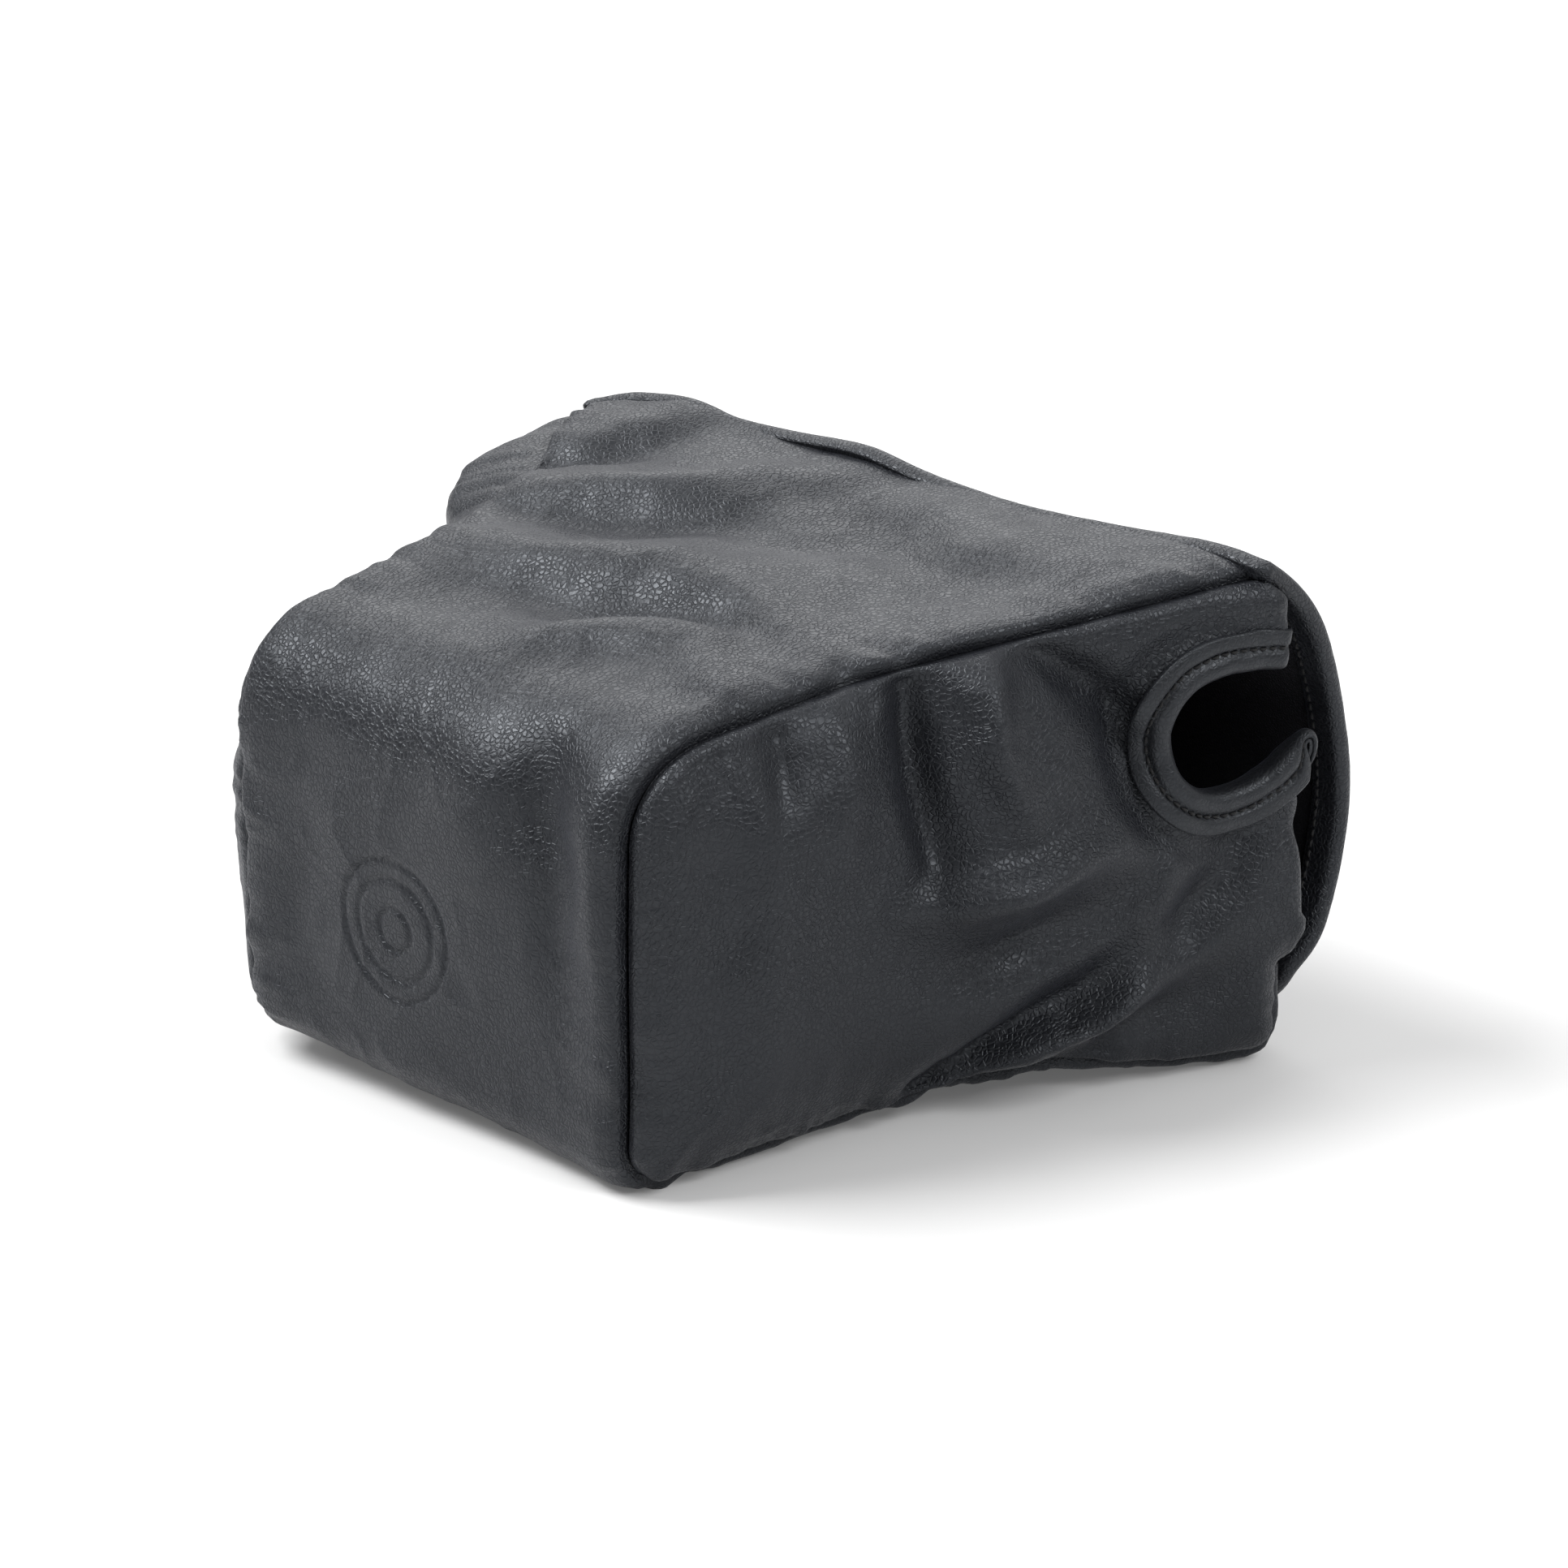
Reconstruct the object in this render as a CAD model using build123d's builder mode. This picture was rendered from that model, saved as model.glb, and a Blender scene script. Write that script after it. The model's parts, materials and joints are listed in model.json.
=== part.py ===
"""Soft leather camera pouch with a lens nose, two strap notches and a rear flap.

Frame: +X is the pouch's right side, -Y the closed front of the nose, +Y the open
rear with its flap, +Z up. The origin is at the bottom, in the middle of the
pouch's overall width and depth. All sizes are in millimetres.

The walls are three layers, each drawn as a band between two distances inside the
outer surface: leather, foam and velvet lining. A wrap makes the top, the front,
the bottom and the closing lip. Two gussets are sewn into its sides.
"""
from math import asin, cos, degrees, radians, sin, sqrt
import os

from build123d import *

# Driving dimensions of the body
POUCH_DEPTH = 107.0        # front of the nose to the mouth's top edge
MOUTH_HEIGHT = 87.5
NOSE_HEIGHT = 73.5
MOUTH_HALF_WIDTH = 75.5    # at the mouth's top edge
NOSE_RIGHT = 38.0          # the nose sits off centre, as the lens does
NOSE_LEFT = 54.0
RIGHT_WAIST = 66.0         # where each side starts to flare, ahead of the mouth
LEFT_WAIST = 50.0
SIDE_FLARE = 0.447         # outward run of a flared side for each unit of depth
WAIST_RADIUS = 90.0
LIP_REACH = 6.2            # the lip stands this far behind the mouth's top edge
LIP_HEIGHT = 17.0
WRAP_RADII = [17.0, 13.0, 7.0]   # top front, bottom front and bottom rear edges
PLAN_MARGIN = 20.0         # the plan outline runs on past the front and the rear

# Wall layers, from the outer surface inwards
LEATHER = 1.2
FOAM = 1.4
LINING = 0.8
FOAM_DEPTH = LEATHER
LINING_DEPTH = LEATHER + FOAM
WALL = LEATHER + FOAM + LINING

# Blind embossed ring on the front
EMBOSS_X = -14.8
EMBOSS_HEIGHT = 31.8
EMBOSS_RADIUS = 12.0
EMBOSS_LINE = 0.8
EMBOSS_DEPTH = 0.3

# Strap notches, open to the rear
NOTCH_RADIUS = 11.5
NOTCH_DEPTH = 18.0         # along the gusset, from the mouth's top edge
NOTCH_HEIGHT = 61.5
NOTCH_MOUTH = 20.0         # how far the cut runs on past the rear edge
BINDING_EDGE = 0.9         # leather folded over the cut edge
BINDING_OUTER = 6.7        # width of the flange on the outside
BINDING_INNER = 5.0        # and on the lining
BINDING_SKIN = 0.8         # thickness of the flange on the lining
BINDING_SEAM = 3.6         # stitch line, from the cut edge

# Flap: a rounded sheet that hangs from the hinge line, curved about one centre
HINGE_REACH = 1.0          # hinge line, behind the mouth's top edge
HINGE_HEIGHT = 88.3
FLAP_CENTRE_HEIGHT = 45.0
FLAP_RADIUS = 56.5         # of the middle of its leather
FLAP_KNEE_HEIGHT = 15.0    # below this the flap bends back to hang straight
FLAP_KNEE_RADIUS = 6.0
FLAP_TIP_HEIGHT = 2.5
FLAP_HALF_WIDTH = 76.0
FLAP_TOP_HALF_WIDTH = 72.0
FLAP_SHOULDER_HEIGHT = 74.0
FLAP_CORNER_RADIUS = 20.0
FLAP_SHOULDER_RADIUS = 30.0
FLAP_OUTLINE_TOP = 95.0    # the outline runs on above the hinge
LINING_START_HEIGHT = 82.0  # foam and lining stop here, so that only leather bends
EDGE_TURN = 0.9            # leather turned round the flap's edge
RIM_WIDTH = 4.0            # and laid on the lining
RIM_SKIN = 0.7
RIM_SEAM = 3.1             # stitch line, from the flap's edge
HINGE_SEAM_DROP = 5.0      # stitch line across the flap, below the hinge

# Hook and loop strips of the closure
PATCH_THICKNESS = 0.9
HOOK_HALF_WIDTH = 25.0
HOOK_BOTTOM = 6.7
HOOK_TOP = 11.6
LOOP_HALF_WIDTH = 27.0
LOOP_BOTTOM = 7.3
LOOP_TOP = 14.3
PATCH_SEAM = 1.0           # stitch line, from a strip's edge

# Thread
STITCH_LENGTH = 1.9
STITCH_PITCH = 2.8
STITCH_WIDTH = 0.45
STITCH_RISE = 0.3
STITCH_GAP = 0.1           # clearance under a straight stitch on a curved face

# Worked out
FLAP_CENTRE_REACH = HINGE_REACH - sqrt(FLAP_RADIUS**2 - (HINGE_HEIGHT - FLAP_CENTRE_HEIGHT) ** 2)
FLAP_BULGE = FLAP_CENTRE_REACH + FLAP_RADIUS + LEATHER / 2 + STITCH_GAP + STITCH_RISE
MOUTH_Y = (POUCH_DEPTH - FLAP_BULGE) / 2
FRONT_Y = MOUTH_Y - POUCH_DEPTH
LIP_Y = MOUTH_Y + LIP_REACH
HINGE_Y = MOUTH_Y + HINGE_REACH
FLAP_CENTRE = Vector(MOUTH_Y + FLAP_CENTRE_REACH, FLAP_CENTRE_HEIGHT)
HINGE_ANGLE = degrees(asin((HINGE_HEIGHT - FLAP_CENTRE_HEIGHT) / FLAP_RADIUS))
LINING_ANGLE = degrees(asin((LINING_START_HEIGHT - FLAP_CENTRE_HEIGHT) / FLAP_RADIUS))
KNEE_ANGLE = degrees(asin((FLAP_KNEE_HEIGHT - FLAP_CENTRE_HEIGHT) / FLAP_RADIUS))
KNEE_CENTRE = FLAP_CENTRE + Vector(1, 0).rotate(Axis.Z, KNEE_ANGLE) * (FLAP_RADIUS + FLAP_KNEE_RADIUS)
TAIL_Y = KNEE_CENTRE.X - FLAP_KNEE_RADIUS
INSIDE_FOAM = -LEATHER / 2                 # offsets from the middle of the flap's leather
INSIDE_LINING = INSIDE_FOAM - FOAM
INSIDE_FACE = INSIDE_LINING - LINING
OUTSIDE_FACE = LEATHER / 2
RIGHT = 1
LEFT = -1
SPAN = 2 * MOUTH_HALF_WIDTH                # longer than half the pouch's width

WRAP_OUTLINE = [
    (MOUTH_Y, MOUTH_HEIGHT),
    (FRONT_Y, NOSE_HEIGHT),
    (FRONT_Y, 0),
    (LIP_Y, 0),
    (LIP_Y, LIP_HEIGHT),
]

# The flap as seen from ahead, down the left side, along the tip and up the right side
FLAP_OUTLINE = [
    (-FLAP_TOP_HALF_WIDTH, FLAP_OUTLINE_TOP),
    (-FLAP_TOP_HALF_WIDTH, HINGE_HEIGHT),
    (-FLAP_HALF_WIDTH, FLAP_SHOULDER_HEIGHT),
    (-FLAP_HALF_WIDTH, FLAP_TIP_HEIGHT),
    (FLAP_HALF_WIDTH, FLAP_TIP_HEIGHT),
    (FLAP_HALF_WIDTH, FLAP_SHOULDER_HEIGHT),
    (FLAP_TOP_HALF_WIDTH, HINGE_HEIGHT),
    (FLAP_TOP_HALF_WIDTH, FLAP_OUTLINE_TOP),
]
SHOULDER = [FLAP_SHOULDER_RADIUS] * 2
FLAP_RADII = [*SHOULDER, FLAP_CORNER_RADIUS, FLAP_CORNER_RADIUS, *SHOULDER]


def inset_points(points, distance):
    """Return an open outline's corners, moved to the left of its direction of travel."""
    corners = [Vector(*point) for point in points]
    runs = [(end - start).normalized() for start, end in zip(corners, corners[1:])]
    lefts = [run.rotate(Axis.Z, 90) for run in runs]
    moved = [corners[0] + lefts[0] * distance]
    for corner, before, after in zip(corners[1:], lefts, lefts[1:]):
        moved.append(corner + (before + after) * (distance / (1 + before.dot(after))))
    moved.append(corners[-1] + lefts[-1] * distance)
    return moved


def side_outline(side):
    """Return one side's plan outline, with the pouch's inside on its left."""
    waist_depth = RIGHT_WAIST if side == RIGHT else LEFT_WAIST
    nose_half = NOSE_RIGHT if side == RIGHT else NOSE_LEFT
    waist_half = MOUTH_HALF_WIDTH - SIDE_FLARE * waist_depth
    nose_slope = (waist_half - nose_half) / (POUCH_DEPTH - waist_depth)
    points = [
        (side * (nose_half - nose_slope * PLAN_MARGIN), FRONT_Y - PLAN_MARGIN),
        (side * waist_half, MOUTH_Y - waist_depth),
        (side * (MOUTH_HALF_WIDTH + SIDE_FLARE * PLAN_MARGIN), MOUTH_Y + PLAN_MARGIN),
    ]
    return points if side == RIGHT else points[::-1]


def side_line(side, depth):
    """Draw one side's plan outline at a depth inside the outer surface."""
    return FilletPolyline(*inset_points(side_outline(side), depth), radius=WAIST_RADIUS + depth)


def wrap_line(depth):
    """Draw the wrap's profile, from the mouth's top edge round the front to the lip."""
    radii = [radius - depth for radius in WRAP_RADII]
    return FilletPolyline(*inset_points(WRAP_OUTLINE, depth), radius=radii)


def draw_band(line, near, far, *arguments):
    """Sketch the band between two depths of a line."""
    with BuildLine() as border:
        outer = line(*arguments, near)
        inner = line(*arguments, far)
        Line(outer @ 0, inner @ 0)
        Line(outer @ 1, inner @ 1)
    make_face(border.edges())


def draw_profile(depth):
    """Sketch all that lies inside the wrap at a depth, back to the mouth."""
    with BuildLine() as border:
        line = wrap_line(depth)
        Line(line @ 1, line @ 0)
    make_face(border.edges())


def draw_plan(depth):
    """Sketch all that lies between the two sides at a depth."""
    with BuildLine() as border:
        right = side_line(RIGHT, depth)
        left = side_line(LEFT, depth)
        Line(right @ 1, left @ 0)
        Line(left @ 1, right @ 0)
    make_face(border.edges())


def gusset_plane(side):
    """Return the outer face of a flared side: X runs rearwards, Y up."""
    rearwards = Vector(side * SIDE_FLARE, 1, 0)
    return Plane(
        origin=(side * MOUTH_HALF_WIDTH, MOUTH_Y, 0),
        x_dir=rearwards,
        z_dir=rearwards.cross(Vector(0, 0, 1)),
    )


def draw_notch(radius, mode=Mode.ADD):
    """Sketch a notch: a half circle that runs straight out to the rear."""
    centre = NOTCH_RADIUS - NOTCH_DEPTH
    with Locations((centre, NOTCH_HEIGHT)):
        Circle(radius, mode=mode)
        Rectangle(NOTCH_MOUTH - centre, 2 * radius, align=(Align.MIN, Align.CENTER), mode=mode)


def save(part, name):
    """Label a finished piece and write it under its own name."""
    part.label = name
    export_step(part, f"parts/{name}.step")


def make_wrap_layer(near, far):
    """Make one layer of the wrap, as wide as the gussets' same layer allows."""
    with BuildPart() as layer:
        with BuildSketch(Plane.YZ):
            draw_band(wrap_line, near, far)
        extrude(amount=SPAN, both=True)
        with BuildSketch():
            draw_plan(near)
        extrude(amount=MOUTH_HEIGHT, mode=Mode.INTERSECT)
    return layer


def make_wrap_leather():
    """Make the wrap's leather, with a ring pressed into its front."""
    sheet = make_wrap_layer(0, FOAM_DEPTH)
    with BuildPart() as leather:
        add(sheet.part)
        with BuildSketch(Plane.XZ.offset(-FRONT_Y)):
            with Locations((EMBOSS_X, EMBOSS_HEIGHT)):
                Circle(EMBOSS_RADIUS)
                Circle(EMBOSS_RADIUS - EMBOSS_LINE, mode=Mode.SUBTRACT)
        extrude(amount=-EMBOSS_DEPTH, mode=Mode.SUBTRACT)
    return leather


def make_gusset_layer(side, near, far):
    """Make one layer of a gusset: it fits inside the wrap's same layer."""
    with BuildPart() as layer:
        with BuildSketch():
            draw_band(side_line, near, far, side)
        extrude(amount=MOUTH_HEIGHT)
        with BuildSketch(Plane.YZ):
            draw_profile(far)
        extrude(amount=SPAN, both=True, mode=Mode.INTERSECT)
        with BuildSketch(gusset_plane(side)):
            draw_notch(NOTCH_RADIUS + BINDING_EDGE)
        extrude(amount=MOUTH_HALF_WIDTH / 2, both=True, mode=Mode.SUBTRACT)
    return layer


def make_notch_ring(side, near, far, inner, outer):
    """Make one part of a notch's binding, between two depths and two radii."""
    with BuildPart() as ring:
        with BuildSketch():
            draw_band(side_line, near, far, side)
        extrude(amount=MOUTH_HEIGHT)
        with BuildSketch(Plane.YZ):
            draw_profile(0)
        extrude(amount=SPAN, both=True, mode=Mode.INTERSECT)
        with BuildSketch(gusset_plane(side)):
            draw_notch(outer)
            draw_notch(inner, mode=Mode.SUBTRACT)
        extrude(amount=MOUTH_HALF_WIDTH / 2, both=True, mode=Mode.INTERSECT)
    return ring


def make_notch_binding(side):
    """Make a notch's binding: outer flange, folded edge and flange on the lining."""
    outside = make_notch_ring(side, -BINDING_EDGE, 0, NOTCH_RADIUS, NOTCH_RADIUS + BINDING_OUTER)
    edge = make_notch_ring(side, 0, WALL, NOTCH_RADIUS, NOTCH_RADIUS + BINDING_EDGE)
    inside = make_notch_ring(side, WALL, WALL + BINDING_SKIN, NOTCH_RADIUS, NOTCH_RADIUS + BINDING_INNER)
    with BuildPart() as binding:
        add(outside.part)
        add(edge.part)
        add(inside.part)
    return binding


def make_stitches(planes):
    """Make one straight stitch of thread on each plane, along its X."""
    with BuildPart() as stitches:
        with Locations([plane.offset(STITCH_GAP).location for plane in planes]):
            Box(
                STITCH_LENGTH,
                STITCH_WIDTH,
                STITCH_RISE,
                align=(Align.CENTER, Align.CENTER, Align.MIN),
            )
    return stitches


def row_steps(length):
    """Return the fractions of a seam line at which its stitches lie."""
    count = int(length / STITCH_PITCH)
    return [(step + 0.5) / count for step in range(count)]


def seam_planes(edges, face):
    """Place stitches along flat edges; face turns a point and a direction into a plane."""
    return [
        face(edge @ step, edge % step)
        for edge in edges
        for step in row_steps(edge.length)
    ]


def notch_stitch_planes(side):
    """Place the stitches round a notch, on the binding's outer flange."""
    radius = NOTCH_RADIUS + BINDING_SEAM
    centre = NOTCH_RADIUS - NOTCH_DEPTH
    gusset = gusset_plane(side)
    outwards = gusset.z_dir * side
    with BuildLine() as seam:
        for height in (NOTCH_HEIGHT - radius, NOTCH_HEIGHT + radius):
            Line((centre, height), (0, height))
        CenterArc((centre, NOTCH_HEIGHT), radius, 90, 180)

    def face(point, along):
        origin = gusset.from_local_coords(point) + outwards * BINDING_EDGE
        return Plane(origin, x_dir=gusset.from_local_coords(along) - gusset.origin, z_dir=outwards)

    return seam_planes(seam.edges(), face)


def flap_line(start_angle, offset):
    """Draw the flap's profile at an offset from the middle of its leather."""
    arc = CenterArc(FLAP_CENTRE, FLAP_RADIUS + offset, start_angle, KNEE_ANGLE - start_angle)
    knee = CenterArc(KNEE_CENTRE, FLAP_KNEE_RADIUS - offset, 180 + KNEE_ANGLE, -KNEE_ANGLE)
    tail = Line(knee @ 1, (TAIL_Y + offset, FLAP_TIP_HEIGHT))
    return Wire([arc, knee, tail])


def flap_outline(inset):
    """Draw the flap's outline at a distance inside its edge."""
    radii = [radius - inset for radius in FLAP_RADII]
    return FilletPolyline(*inset_points(FLAP_OUTLINE, inset), radius=radii)


def draw_flap_outline(inset, mode=Mode.ADD):
    """Sketch all that lies inside the flap's outline at a distance from its edge."""
    with BuildLine() as border:
        line = flap_outline(inset)
        Line(line @ 1, line @ 0)
    make_face(border.edges(), mode=mode)


def make_flap_layer(near, far, start_angle, inset=0.0, hollow=None):
    """Make one layer of the flap between two offsets, inside its outline.

    With hollow, only the border between the two distances from the edge is kept.
    """
    with BuildPart() as layer:
        with BuildSketch(Plane.YZ):
            draw_band(flap_line, near, far, start_angle)
        extrude(amount=SPAN, both=True)
        with BuildSketch(Plane.XZ):
            draw_flap_outline(inset)
            if hollow:
                draw_flap_outline(hollow, mode=Mode.SUBTRACT)
        extrude(amount=POUCH_DEPTH, both=True, mode=Mode.INTERSECT)
    return layer


def make_flap_leather():
    """Make the flap's leather, with a round end on the hinge line."""
    sheet = make_flap_layer(INSIDE_FOAM, OUTSIDE_FACE, HINGE_ANGLE)
    with BuildPart() as leather:
        add(sheet.part)
        with BuildSketch(Plane.YZ):
            with Locations((HINGE_Y, HINGE_HEIGHT)):
                Circle(LEATHER / 2)
        extrude(amount=FLAP_TOP_HALF_WIDTH, both=True)
    return leather


def make_flap_edge_binding():
    """Make the leather that is turned round the flap's edge and laid on its lining."""
    edge = make_flap_layer(INSIDE_FACE, INSIDE_FOAM, LINING_ANGLE, hollow=EDGE_TURN)
    rim = make_flap_layer(INSIDE_FACE - RIM_SKIN, INSIDE_FACE, LINING_ANGLE, hollow=RIM_WIDTH)
    with BuildPart() as binding:
        add(edge.part)
        add(rim.part)
    return binding


def flap_face(offset, facing):
    """Return the function that puts a plane on the flap at a point of its outline."""
    knee_top = FLAP_CENTRE.Y + (FLAP_RADIUS + offset) * sin(radians(KNEE_ANGLE))

    def face(point, along):
        if point.Y > knee_top:
            centre, radius = FLAP_CENTRE, FLAP_RADIUS + offset
        elif point.Y > KNEE_CENTRE.Y:
            centre, radius = KNEE_CENTRE, offset - FLAP_KNEE_RADIUS
        else:
            centre, radius = Vector(TAIL_Y + offset, point.Y), 0
        angle = asin((point.Y - centre.Y) / radius) if radius else 0
        origin = Vector(point.X, centre.X + radius * cos(angle), point.Y)
        normal = Vector(0, cos(angle), sin(angle))
        slope = Vector(0, -sin(angle), cos(angle)) / cos(angle)
        return Plane(origin, x_dir=Vector(along.X, 0, 0) + slope * along.Y, z_dir=normal * facing)

    return face


def flap_edge_stitch_planes():
    """Place the stitches along the flap's edge, on its rim and on its outer face."""
    with BuildLine() as seam:
        flap_outline(RIM_SEAM)
    low_top = LINING_START_HEIGHT - STITCH_LENGTH
    inside = seam_planes(seam.edges(), flap_face(INSIDE_FACE - RIM_SKIN, -1))
    outside = seam_planes(seam.edges(), flap_face(OUTSIDE_FACE, 1))
    return [plane for plane in inside + outside if plane.origin.Z < low_top]


def hinge_stitch_planes():
    """Place the seam across the flap, just below the hinge."""
    height = HINGE_HEIGHT - HINGE_SEAM_DROP
    half = FLAP_TOP_HALF_WIDTH - HINGE_SEAM_DROP / 2
    with BuildLine() as seam:
        Line((-half, height), (half, height))
    return seam_planes(seam.edges(), flap_face(OUTSIDE_FACE, 1))


def make_patch(half_width, bottom, top, back):
    """Make one strip of the closure; back is its rearmost face."""
    with BuildPart() as patch:
        with BuildSketch(Plane.XZ.offset(-back)):
            with Locations((0, bottom)):
                Rectangle(2 * half_width, top - bottom, align=(Align.CENTER, Align.MIN))
        extrude(amount=PATCH_THICKNESS)
    return patch


def patch_stitch_planes(half_width, bottom, top, reach, facing):
    """Place the stitches of a strip, in a row just inside each of its two long edges."""
    with BuildLine() as seam:
        for height in (bottom + PATCH_SEAM, top - PATCH_SEAM):
            Line((-half_width + PATCH_SEAM, height), (half_width - PATCH_SEAM, height))

    def face(point, along):
        return Plane((point.X, reach, point.Y), x_dir=(along.X, 0, along.Y), z_dir=(0, facing, 0))

    return seam_planes(seam.edges(), face)


os.makedirs("parts", exist_ok=True)

save(make_wrap_leather().part, "wrap_leather")
save(make_wrap_layer(FOAM_DEPTH, LINING_DEPTH).part, "wrap_foam")
save(make_wrap_layer(LINING_DEPTH, WALL).part, "wrap_lining")

for side, side_name in ((RIGHT, "right"), (LEFT, "left")):
    save(make_gusset_layer(side, 0, FOAM_DEPTH).part, f"{side_name}_gusset_leather")
    save(make_gusset_layer(side, FOAM_DEPTH, LINING_DEPTH).part, f"{side_name}_gusset_foam")
    save(make_gusset_layer(side, LINING_DEPTH, WALL).part, f"{side_name}_gusset_lining")
    save(make_notch_binding(side).part, f"{side_name}_notch_binding")
    save(make_stitches(notch_stitch_planes(side)).part, f"{side_name}_notch_stitches")

lip_face = LIP_Y + PATCH_THICKNESS
save(make_patch(LOOP_HALF_WIDTH, LOOP_BOTTOM, LOOP_TOP, lip_face).part, "loop_strip")
loop_seams = patch_stitch_planes(LOOP_HALF_WIDTH, LOOP_BOTTOM, LOOP_TOP, lip_face, 1)
save(make_stitches(loop_seams).part, "loop_strip_stitches")

save(make_flap_leather().part, "flap_leather")
save(make_flap_layer(INSIDE_LINING, INSIDE_FOAM, LINING_ANGLE, EDGE_TURN).part, "flap_foam")
save(make_flap_layer(INSIDE_FACE, INSIDE_LINING, LINING_ANGLE, EDGE_TURN).part, "flap_lining")
save(make_flap_edge_binding().part, "flap_edge_binding")
save(make_stitches(flap_edge_stitch_planes()).part, "flap_edge_stitches")
save(make_stitches(hinge_stitch_planes()).part, "hinge_seam_stitches")

flap_face_y = TAIL_Y + INSIDE_FACE
save(make_patch(HOOK_HALF_WIDTH, HOOK_BOTTOM, HOOK_TOP, flap_face_y).part, "hook_strip")
hook_seams = patch_stitch_planes(
    HOOK_HALF_WIDTH, HOOK_BOTTOM, HOOK_TOP, flap_face_y - PATCH_THICKNESS, -1
)
save(make_stitches(hook_seams).part, "hook_strip_stitches")
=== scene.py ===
"""Soft leather camera pouch: the visual model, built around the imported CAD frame.

Every piece is a sheet or a strip made in mesh code, in millimetres, and scaled to
metres when it becomes a mesh. +X is the pouch's right side, -Y the closed front,
+Y the mouth with its flap, +Z up. One field of soft bulges and folds shapes all
the layers of the body together, so that leather, foam and lining stay nested.
"""
import json
import math

import bmesh
import bpy
import numpy as np
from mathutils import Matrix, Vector, noise


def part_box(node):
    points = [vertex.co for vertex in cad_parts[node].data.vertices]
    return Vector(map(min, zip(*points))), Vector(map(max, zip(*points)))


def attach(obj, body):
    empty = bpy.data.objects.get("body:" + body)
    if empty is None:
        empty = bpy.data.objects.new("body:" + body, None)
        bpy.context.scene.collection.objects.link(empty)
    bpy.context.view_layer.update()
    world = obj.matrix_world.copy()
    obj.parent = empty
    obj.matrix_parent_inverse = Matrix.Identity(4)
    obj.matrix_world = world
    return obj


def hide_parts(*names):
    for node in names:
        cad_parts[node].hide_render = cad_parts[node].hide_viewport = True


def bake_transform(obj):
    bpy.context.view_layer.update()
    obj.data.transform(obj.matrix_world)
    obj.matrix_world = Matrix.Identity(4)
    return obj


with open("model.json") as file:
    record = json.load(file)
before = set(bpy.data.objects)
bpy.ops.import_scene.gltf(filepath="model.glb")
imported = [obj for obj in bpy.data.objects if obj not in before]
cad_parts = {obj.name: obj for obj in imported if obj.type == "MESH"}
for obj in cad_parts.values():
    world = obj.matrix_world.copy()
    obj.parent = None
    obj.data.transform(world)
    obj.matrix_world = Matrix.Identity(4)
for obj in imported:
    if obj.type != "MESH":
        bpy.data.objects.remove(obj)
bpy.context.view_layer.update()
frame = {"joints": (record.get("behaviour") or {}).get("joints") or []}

# ---------------------------------------------------------------- sizes, in mm
MM = 0.001
RIGHT = 1
LEFT = -1

wrap_low, wrap_high = (np.array(corner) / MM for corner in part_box("wrap_leather"))
hinge = np.array(frame["joints"][0]["pos_m"]) / MM
FRONT_Y = wrap_low[1]
LIP_Y = wrap_high[1]
MOUTH_HEIGHT = wrap_high[2]
HINGE_Y = hinge[1]
HINGE_HEIGHT = hinge[2]
MOUTH_Y = HINGE_Y - 1.0
NOSE_HEIGHT = 73.5
LIP_HEIGHT = 17.0
PROFILE_RADII = [17.0, 9.5, 7.0]

MOUTH_HALF_WIDTH = 75.5
NOSE_HALF_WIDTH = {RIGHT: 38.0, LEFT: 54.0}
WAIST_DEPTH = {RIGHT: 66.0, LEFT: 50.0}
SIDE_FLARE = 0.447
WAIST_RADIUS = 90.0
PLAN_MARGIN = 20.0

LEATHER = 0.9
FOAM_DEPTH = 1.3
FOAM = 1.2
LINING_DEPTH = 2.7
LINING = 0.7
TURN_RADIUS = 2.1          # of leather turned over at the mouth
TURN_STEPS = 7
FACING = 5.0               # how far turned leather runs back inside
FACING_STEPS = 5
CORNER_RADIUS = 7.0        # of the soft corner that each seam runs along
SEAM_SINK = 1.2            # depth of the groove at a seam
SEAM_WIDTH = 0.9
SEAM_WALL = 2.4            # how far the sewn edges run on inside

EMBOSS_X = -14.8
EMBOSS_HEIGHT = 31.8
EMBOSS_RADIUS = 12.0
EMBOSS_RINGS = [EMBOSS_RADIUS, 8.6, 3.6]
EMBOSS_LINE = 0.55
EMBOSS_DEPTH = 0.42        # of its lines
EMBOSS_DISC = 0.12         # and of the whole disc


# ---------------------------------------------------------------- small tools
OUTLINE_STEP = 0.25
ARC_POINTS = 24            # on each rounded corner of an outline
CURVE_POINTS = 16          # between two given points of a smooth path
NOISE_STRIDE = (17.3, 9.1, 5.7)    # from one seed's noise to the next
NOISE_GAIN = 1.6


def unit(vectors):
    """Scale vectors to length one."""
    return vectors / np.maximum(np.linalg.norm(vectors, axis=-1, keepdims=True), 1e-9)


def lengths(path):
    """Return how far along a path each of its points lies."""
    return np.concatenate([[0], np.cumsum(np.linalg.norm(np.diff(path, axis=0), axis=1))])


def along(path, distances):
    """Return the points of a path at given distances along it."""
    walked = lengths(path)
    return np.stack([np.interp(distances, walked, path[:, k]) for k in range(path.shape[1])], -1)


def resample(path, step):
    """Place points on a path at even steps."""
    total = lengths(path)[-1]
    return along(path, np.linspace(0, total, max(2, int(round(total / step)) + 1)))


def smooth(share):
    """Ease a share between 0 and 1 at both of its ends."""
    return share * share * (3 - 2 * share)


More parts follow.
